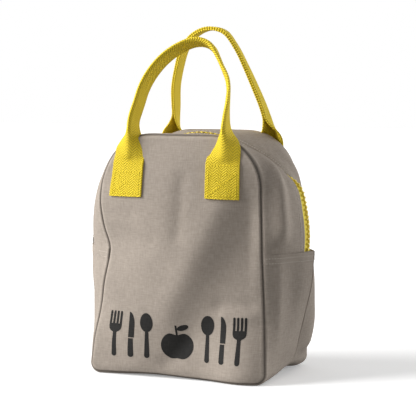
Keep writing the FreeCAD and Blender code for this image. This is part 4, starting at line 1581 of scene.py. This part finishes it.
def build_handle(settings, side):
    """The points of one handle's outer and inner faces, and their flat places."""
    shape = BagShape(settings)
    trim = settings.trim
    half, layer = trim.webbing_width / 2, trim.webbing
    lift = layer / 2 + WEBBING_CLEARANCE
    route = handle_route(shape, side, lift)
    run = run_lengths(route)
    share = run / run[-1]
    closed = np.clip(flow(FOLD_STATIONS, HANDLE_CLOSED[side], share), 0.0, 1.0)
    turned = np.radians(flow(FOLD_STATIONS, HANDLE_TURNED[side], share))
    along = unit(np.gradient(route, axis=0))
    x, z = route[:, 0], route[:, 2]
    free = smooth((z - SEWN_TO) / (FREE_FROM - SEWN_TO))
    slope = panel_slope(shape, x, z, side) * (1.0 - free)
    facing = unit(np.stack([-slope, np.full_like(x, -1.0), np.full_like(x, HANDLE_LEAN) * free], axis=-1))
    wide = unit(np.cross(along, facing))
    facing = np.cross(wide, along)
    places, across, outward = folded_section(half, closed, layer)
    cos, sin = np.cos(turned)[:, None], np.sin(turned)[:, None]
    across, outward = across * cos - outward * sin, across * sin + outward * cos
    middle = route[:, None] + wide[:, None] * across[..., None] + facing[:, None] * outward[..., None]
    sewn = (1.0 - smooth((z - SEWN_TO + 0.002) / 0.010))[:, None]
    on_panel = -(shape.panel_depth(middle[..., 0], np.minimum(middle[..., 2], PANEL_TOP), side) + lift)
    middle[..., 1] = middle[..., 1] * (1.0 - sewn) + on_panel * sewn
    width_way = np.gradient(middle, axis=1)
    face = unit(np.cross(width_way, along[:, None]))
    rounded = np.clip((half - np.abs(places)) / SELVEDGE, 0.0, 1.0)
    full = np.sqrt(1.0 - (1.0 - rounded) ** 2)
    thick = layer / 2 * (1.0 - SELVEDGE_THINNING * (1.0 - full))
    ribs = 1.0 + RIB_HEIGHT * np.cos(places / half * RIB_COUNT * math.pi)
    step = face * (thick * ribs)[None, :, None]
    outer, inner = middle + step, middle - step
    across_places = np.repeat(places[None, :], len(route), axis=0)
    along_places = np.repeat(run[:, None], len(places), axis=1)
    return outer, inner, np.stack([across_places, along_places], axis=-1)


def handle_mesh(name, outer, inner, uv, side):
    """A closed band from a handle's outer and inner faces, with both its ends capped."""
    band = np.concatenate([outer, inner[:, ::-1]], axis=1)
    places = np.concatenate([uv, uv[:, ::-1]], axis=1)
    if side == BACK:
        band = band * FRONT_TO_BACK
    rows, columns = band.shape[:2]
    index = np.arange(rows * columns).reshape(rows, columns)
    after = np.roll(index, -1, axis=1)
    faces = [np.stack([index[:-1], after[:-1], after[1:], index[1:]], axis=-1).reshape(-1, 4)]
    half = columns // 2
    for row in (index[0], index[-1]):
        back = row[::-1]
        faces.append(np.stack([row[: half - 1], row[1:half], back[1:half], back[: half - 1]], axis=-1))
    mesh = bpy.data.meshes.new(name)
    mesh.from_pydata(settle(band).reshape(-1, 3).tolist(), [], np.concatenate(faces).tolist())
    form = bmesh.new()
    form.from_mesh(mesh)
    bmesh.ops.recalc_face_normals(form, faces=form.faces)
    form.to_mesh(mesh)
    form.free()
    lay_uv(mesh, places.reshape(-1, 2))
    return mesh


class LUNCHBAG_OT_handles(Operator):
    """Fold and sew on the two webbing handles"""

    bl_idname = "lunchbag.handles"
    bl_label = "Webbing Handles"

    def execute(self, context):
        settings = context.scene.lunch_bag
        material = webbing_material("cotton_webbing", settings.colours.webbing)
        for side, name in SIDE_NAMES.items():
            mesh = handle_mesh("handle_" + name, *build_handle(settings, side), side)
            piece = paint(link_piece("handle_" + name, mesh), material)
            piece.data.set_sharp_from_angle(angle=SELVEDGE_ANGLE)
            nodes = [f"{name}_{part}" for part in ("handle", "tab_left", "tab_right")]
            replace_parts(piece, *nodes)
            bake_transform(piece)
        return {"FINISHED"}


# ------------------------------------------------------------- stitching


def place_side(points, side):
    """Points made for the front, moved to a side of the bag and settled with its cloth."""
    if side == BACK:
        points = points * FRONT_TO_BACK
    return settle(points)


# Rows of stitches: their distances from the slot and below the gusset's hem, and their lift off the cloth.
SLOT_ROWS = (0.0022, 0.0068)
HEM_ROWS = (0.0040, 0.0090)
THREAD_LIFT = 0.0001


def strip_rows(shape, side):
    """Two rows of topstitching along a zip strip, beside the slot."""
    rails = strip_rails(shape, side)
    lines = []
    for inset in SLOT_ROWS:
        share = 1.0 - inset / rails.width[:, None]
        line = rails.spread(share, strip_lift(shape, rails, share, side) + THREAD_LIFT)[:, 0]
        lines.append(place_side(line[2:-2], side))
    return lines


def hem_rows(shape, side):
    """Two rows of topstitching across each end of the gusset, under its folded hem."""
    rails = gusset_rails(shape)
    shares = np.repeat(np.linspace(0.05, 1.0, 40)[None, :], len(rails.width), axis=0)
    cloth = rails.spread(shares, gusset_lift(shape, rails, shares, side, HEM_LAP) + THREAD_LIFT)
    right = rails.seam[:, 0] > 0
    cloth, heights = cloth[right], rails.seam[right, 2]
    lines = []
    for below in HEM_ROWS:
        place = np.interp(MOUTH_Z - below, heights, np.arange(len(heights)))
        low = int(place)
        part = place - low
        line = cloth[low] * (1.0 - part) + cloth[low + 1] * part
        lines += [place_side(row, side) for row in (line, line * LEFT_TO_RIGHT)]
    return lines


def tab_rows(shape, side, trim):
    """Box stitching with a cross on each sewn tab, and the row at the tab's top."""
    lines = []
    margin, box_height, below_top, above_webbing, points = 0.0035, 0.0250, 0.0008, 0.0003, 24
    half = trim.webbing_width / 2 - margin
    low, high, upper = TAB_LOW.z + margin, TAB_LOW.z + box_height, SEWN_TO - below_top
    lift = trim.webbing + above_webbing
    middle_z = (TAB_LOW.z + SEWN_TO) / 2
    for centre in (LEFT_TAB, RIGHT_TAB):
        slope = float(panel_slope(shape, np.array(centre), np.array(middle_z), side))
        tilt = math.cos(math.atan(slope))
        left, right = centre - half * tilt, centre + half * tilt
        legs = (
            ((left, low), (right, low)),
            ((left, low), (left, high)),
            ((right, low), (right, high)),
            ((left, high), (right, high)),
            ((left, low), (right, high)),
            ((left, high), (right, low)),
            ((left, upper), (right, upper)),
        )
        for (x0, z0), (x1, z1) in legs:
            x, z = np.linspace(x0, x1, points), np.linspace(z0, z1, points)
            y = -(shape.panel_depth(x, z, side) + lift)
            lines.append(place_side(np.stack([x, y, z], axis=-1), side))
    return lines


class LUNCHBAG_OT_stitching(Operator):
    """Sew the rows of topstitching"""

    bl_idname = "lunchbag.stitching"
    bl_label = "Stitching"

    def execute(self, context):
        settings = context.scene.lunch_bag
        shape = BagShape(settings)
        canvas_thread = thread_material("canvas_thread", settings.colours.thread)
        yellow_thread = thread_material("webbing_thread", tinted(settings.colours.webbing, 1.05))
        for side, name in SIDE_NAMES.items():
            rows = strip_rows(shape, side) + hem_rows(shape, side)
            piece = stitch_rows("topstitching_" + name, rows, settings, canvas_thread)
            turn_with_flap(piece)
            rows = tab_rows(shape, side, settings.trim)
            piece = stitch_rows("tab_stitching_" + name, rows, settings, yellow_thread)
            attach(piece, name + "_flap")
        return {"FINISHED"}


# ------------------------------------------------------------- printed pictures


def arc(cx, cy, radius_x, radius_y, start, end, steps=14):
    """Points of an elliptical arc, in degrees."""
    angles = np.radians(np.linspace(start, end, steps))
    return [(cx + radius_x * math.cos(a), cy + radius_y * math.sin(a)) for a in angles]


def fork_outlines():
    """A fork in a box one unit high: its handle and neck, then its four tines."""
    body = arc(0.0, 0.055, 0.055, 0.055, 180, 360) + [(0.040, 0.52)]
    body += arc(0.0, 0.66, 0.150, 0.130, 290, 360, 8) + [(0.150, 0.72), (-0.150, 0.72)]
    body += arc(0.0, 0.66, 0.150, 0.130, 180, 250, 8) + [(-0.040, 0.52)]
    tines = []
    for x in (-0.1245, -0.0415, 0.0415, 0.1245):
        tines.append([(x - 0.0255, 0.71), (x + 0.0255, 0.71)] + arc(x, 0.97, 0.0255, 0.03, 0, 180, 7))
    return [body, *tines]


def spoon_outlines():
    """A spoon in a box one unit high."""
    handle = arc(0.0, 0.055, 0.055, 0.055, 180, 360) + [(0.036, 0.64), (-0.036, 0.64)]
    return [handle, arc(0.0, 0.79, 0.150, 0.210, 0, 345, 24)]


def knife_outlines():
    """A table knife in a box one unit high."""
    handle = arc(0.0, 0.055, 0.062, 0.055, 180, 360) + [(0.052, 0.42), (-0.052, 0.42)]
    blade = [(-0.052, 0.44), (0.074, 0.44)] + arc(-0.052, 0.72, 0.126, 0.280, 0, 90, 12)
    return [handle, blade]


def apple_outlines():
    """An apple with its stalk and leaf, in a box one unit high."""
    fruit = []
    for i in range(40):
        a = 2.0 * math.pi * i / 40
        dip = 0.10 * bell(a, math.pi / 2, 0.35) + 0.05 * bell(a, 1.5 * math.pi, 0.3)
        fruit.append((0.44 * math.cos(a), 0.38 + (0.38 - dip) * math.sin(a)))
    leaf = arc(0.16, 0.86, 0.15, 0.075, 0, 345, 18)
    stalk = [(-0.025, 0.66), (0.025, 0.66), (0.005, 0.92), (-0.045, 0.92)]
    return [fruit, [(x, y + 0.25 * (x - 0.16)) for x, y in leaf], stalk]


# The ink is cut into small cells so that it can follow the cloth: direction, number of cuts, first cut.
INK_THICKNESS, INK_CELL = 0.00022, 0.0025
INK_CUTS = (((1.0, 0.0, 0.0), 76, -0.095), ((0.0, 0.0, 1.0), 34, 0.0))
# The printed row's foot, and the heights of its pictures.
PRINT_FOOT, CUTLERY_HEIGHT, APPLE_HEIGHT = 0.020, 0.048, 0.040
BACK_PRINT_X, BACK_PRINT_FOOT, BACK_APPLE_HEIGHT = 0.066, 0.022, 0.030


def print_piece(name, settings, side, pictures):
    """Printed pictures laid on a panel: (outlines, x, z, height)."""
    shape = BagShape(settings)
    form = bmesh.new()
    for outlines, x0, z0, height in pictures:
        for outline in outlines:
            form.faces.new([form.verts.new((x0 + height * x, 0.0, z0 + height * z)) for x, z in outline])
    for direction, count, first in INK_CUTS:
        for i in range(count):
            cut = Vector(direction) * (first + INK_CELL * i)
            geometry = form.verts[:] + form.edges[:] + form.faces[:]
            bmesh.ops.bisect_plane(form, geom=geometry, plane_co=cut, plane_no=direction, dist=1e-7)
    bmesh.ops.triangulate(form, faces=form.faces[:])
    for face in form.faces:
        face.normal_update()
        if face.normal.y > 0:
            face.normal_flip()
    mesh = bpy.data.meshes.new(name)
    form.to_mesh(mesh)
    form.free()
    flat = np.zeros(len(mesh.vertices) * 3)
    mesh.vertices.foreach_get("co", flat)
    flat = flat.reshape(-1, 3)
    lay_uv(mesh, flat[:, (0, 2)])
    flat[:, 1] = -(shape.panel_depth(flat[:, 0], flat[:, 2], side) + INK_THICKNESS)
    mesh.vertices.foreach_set("co", place_side(flat, side).ravel())
    if side == BACK:
        mesh.flip_normals()
    piece = thicken(link_piece(name, mesh), INK_THICKNESS)
    paint(piece, printed_ink(settings))
    turn_with_flap(piece)
    return piece


class LUNCHBAG_OT_print(Operator):
    """Print plain pictures of cutlery and fruit on the canvas"""

    bl_idname = "lunchbag.print"
    bl_label = "Printed Pictures"

    def execute(self, context):
        settings = context.scene.lunch_bag
        fork, knife, spoon = fork_outlines(), knife_outlines(), spoon_outlines()
        setting = ((fork, 0.068), (knife, 0.050), (spoon, 0.033))
        left = [(outlines, -x, PRINT_FOOT, CUTLERY_HEIGHT) for outlines, x in setting]
        right = [(outlines, x, PRINT_FOOT, CUTLERY_HEIGHT) for outlines, x in reversed(setting)]
        front = [*left, (apple_outlines(), 0.0, PRINT_FOOT, APPLE_HEIGHT), *right]
        print_piece("print_front", settings, FRONT, front)
        back = ((apple_outlines(), BACK_PRINT_X, BACK_PRINT_FOOT, BACK_APPLE_HEIGHT),)
        print_piece("print_back", settings, BACK, back)
        return {"FINISHED"}


# ------------------------------------------------------------- stage


WHITE = (1.0, 1.0, 1.0, 1.0)
FLOOR_REACH = 6.0
FLOOR_LIT, FLOOR_SEEN, FLOOR_GLOW = (0.40, 0.40, 0.40), (0.95, 0.95, 0.95), 0.28
SKY_LIGHT = 0.40
# Each lamp's name, the place it shines from, its softness in degrees and its power.
LAMPS = (
    ("key", (-1.30, -0.70, 0.62), 34.0, 4.8),
    ("rim", (1.00, 1.00, 0.15), 24.0, 2.2),
)
CAMERA_TURN, CAMERA_DISTANCE, CAMERA_HEIGHT = math.radians(21.08), 1.8, 0.33
CAMERA_AIM = (0.00756, 0.0, 0.172)
CAMERA_LENS, CAMERA_SENSOR, CAMERA_REACH = 147.9, 36.0, 50.0


def lay_floor():
    """A plain pale floor that looks lighter than it shines back on the bag."""
    mesh = bpy.data.meshes.new("floor")
    turns = ((-1, -1), (1, -1), (1, 1), (-1, 1))
    mesh.from_pydata([(FLOOR_REACH * x, FLOOR_REACH * y, 0.0) for x, y in turns], [], [(0, 1, 2, 3)])
    material, tree, shader = start_material("floor", 0.9)
    seen = tree.nodes.new("ShaderNodeLightPath").outputs["Is Camera Ray"]
    tree.links.new(blend_colours(tree, seen, FLOOR_LIT, FLOOR_SEEN), shader.inputs["Base Color"])
    shader.inputs["Emission Color"].default_value = WHITE
    tree.links.new(math_node(tree, "MULTIPLY", seen, FLOOR_GLOW), shader.inputs["Emission Strength"])
    return paint(link_piece("floor", mesh), material)


def studio_world():
    """An even white room, dimmer as a light than as a backdrop."""
    world = bpy.data.worlds.new("studio")
    world.use_nodes = True
    tree = world.node_tree
    backdrop = tree.nodes["Background"]
    backdrop.inputs["Color"].default_value = WHITE
    seen = tree.nodes.new("ShaderNodeLightPath").outputs["Is Camera Ray"]
    strength = math_node(tree, "MULTIPLY_ADD", seen, 1.0 - SKY_LIGHT, SKY_LIGHT)
    tree.links.new(strength, backdrop.inputs["Strength"])
    return world


class LUNCHBAG_OT_stage(Operator):
    """Set the floor, the lights and the camera"""

    bl_idname = "lunchbag.stage"
    bl_label = "Stage"

    def execute(self, context):
        scene = context.scene
        floor = lay_floor()
        scene.world = studio_world()
        for name, place, softness, power in LAMPS:
            light = bpy.data.lights.new(name, "SUN")
            light.angle = math.radians(softness)
            light.energy = power
            lamp = bpy.data.objects.new(name, light)
            lamp.location = place
            lamp.rotation_euler = (-Vector(place)).to_track_quat("-Z", "Y").to_euler()
            scene.collection.objects.link(lamp)
        camera = bpy.data.objects.new("camera", bpy.data.cameras.new("camera"))
        ahead, aside = CAMERA_DISTANCE * math.cos(CAMERA_TURN), CAMERA_DISTANCE * math.sin(CAMERA_TURN)
        camera.location = (aside, -ahead, CAMERA_HEIGHT)
        camera.rotation_euler = (Vector(CAMERA_AIM) - camera.location).to_track_quat("-Z", "Y").to_euler()
        camera.data.lens = CAMERA_LENS
        camera.data.sensor_width = CAMERA_SENSOR
        camera.data.clip_end = CAMERA_REACH
        scene.collection.objects.link(camera)
        scene.camera = camera
        scene.view_settings.view_transform = "Standard"
        return {"FINISHED"}


class LUNCHBAG_PT_build(Panel):
    """Lists the steps that build the bag"""

    bl_label = "Lunch Bag"
    bl_idname = "LUNCHBAG_PT_build"
    bl_space_type = "VIEW_3D"
    bl_region_type = "UI"
    bl_category = "Lunch Bag"

    def draw(self, context):
        column = self.layout.column(align=True)
        for step in STEPS:
            column.operator(step.bl_idname, text=step.bl_label)


STEPS = (
    LUNCHBAG_OT_stage,
    LUNCHBAG_OT_panels,
    LUNCHBAG_OT_gusset,
    LUNCHBAG_OT_zip_strips,
    LUNCHBAG_OT_zip,
    LUNCHBAG_OT_slider,
    LUNCHBAG_OT_lining,
    LUNCHBAG_OT_handles,
    LUNCHBAG_OT_stitching,
    LUNCHBAG_OT_print,
)
CLASSES = (BagSizes, TrimSizes, BagColours, LunchBagSettings, *STEPS, LUNCHBAG_PT_build)


def register():
    """Registers the settings, the steps and the panel."""
    for item in CLASSES:
        bpy.utils.register_class(item)
    bpy.types.Scene.lunch_bag = PointerProperty(type=LunchBagSettings)


def unregister():
    """Takes them away again."""
    del bpy.types.Scene.lunch_bag
    for item in reversed(CLASSES):
        bpy.utils.unregister_class(item)


def main():
    """Registers the add-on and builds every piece."""
    register()
    for step in STEPS:
        group, name = step.bl_idname.split(".")
        getattr(getattr(bpy.ops, group), name)()


if __name__ == "__main__":
    main()
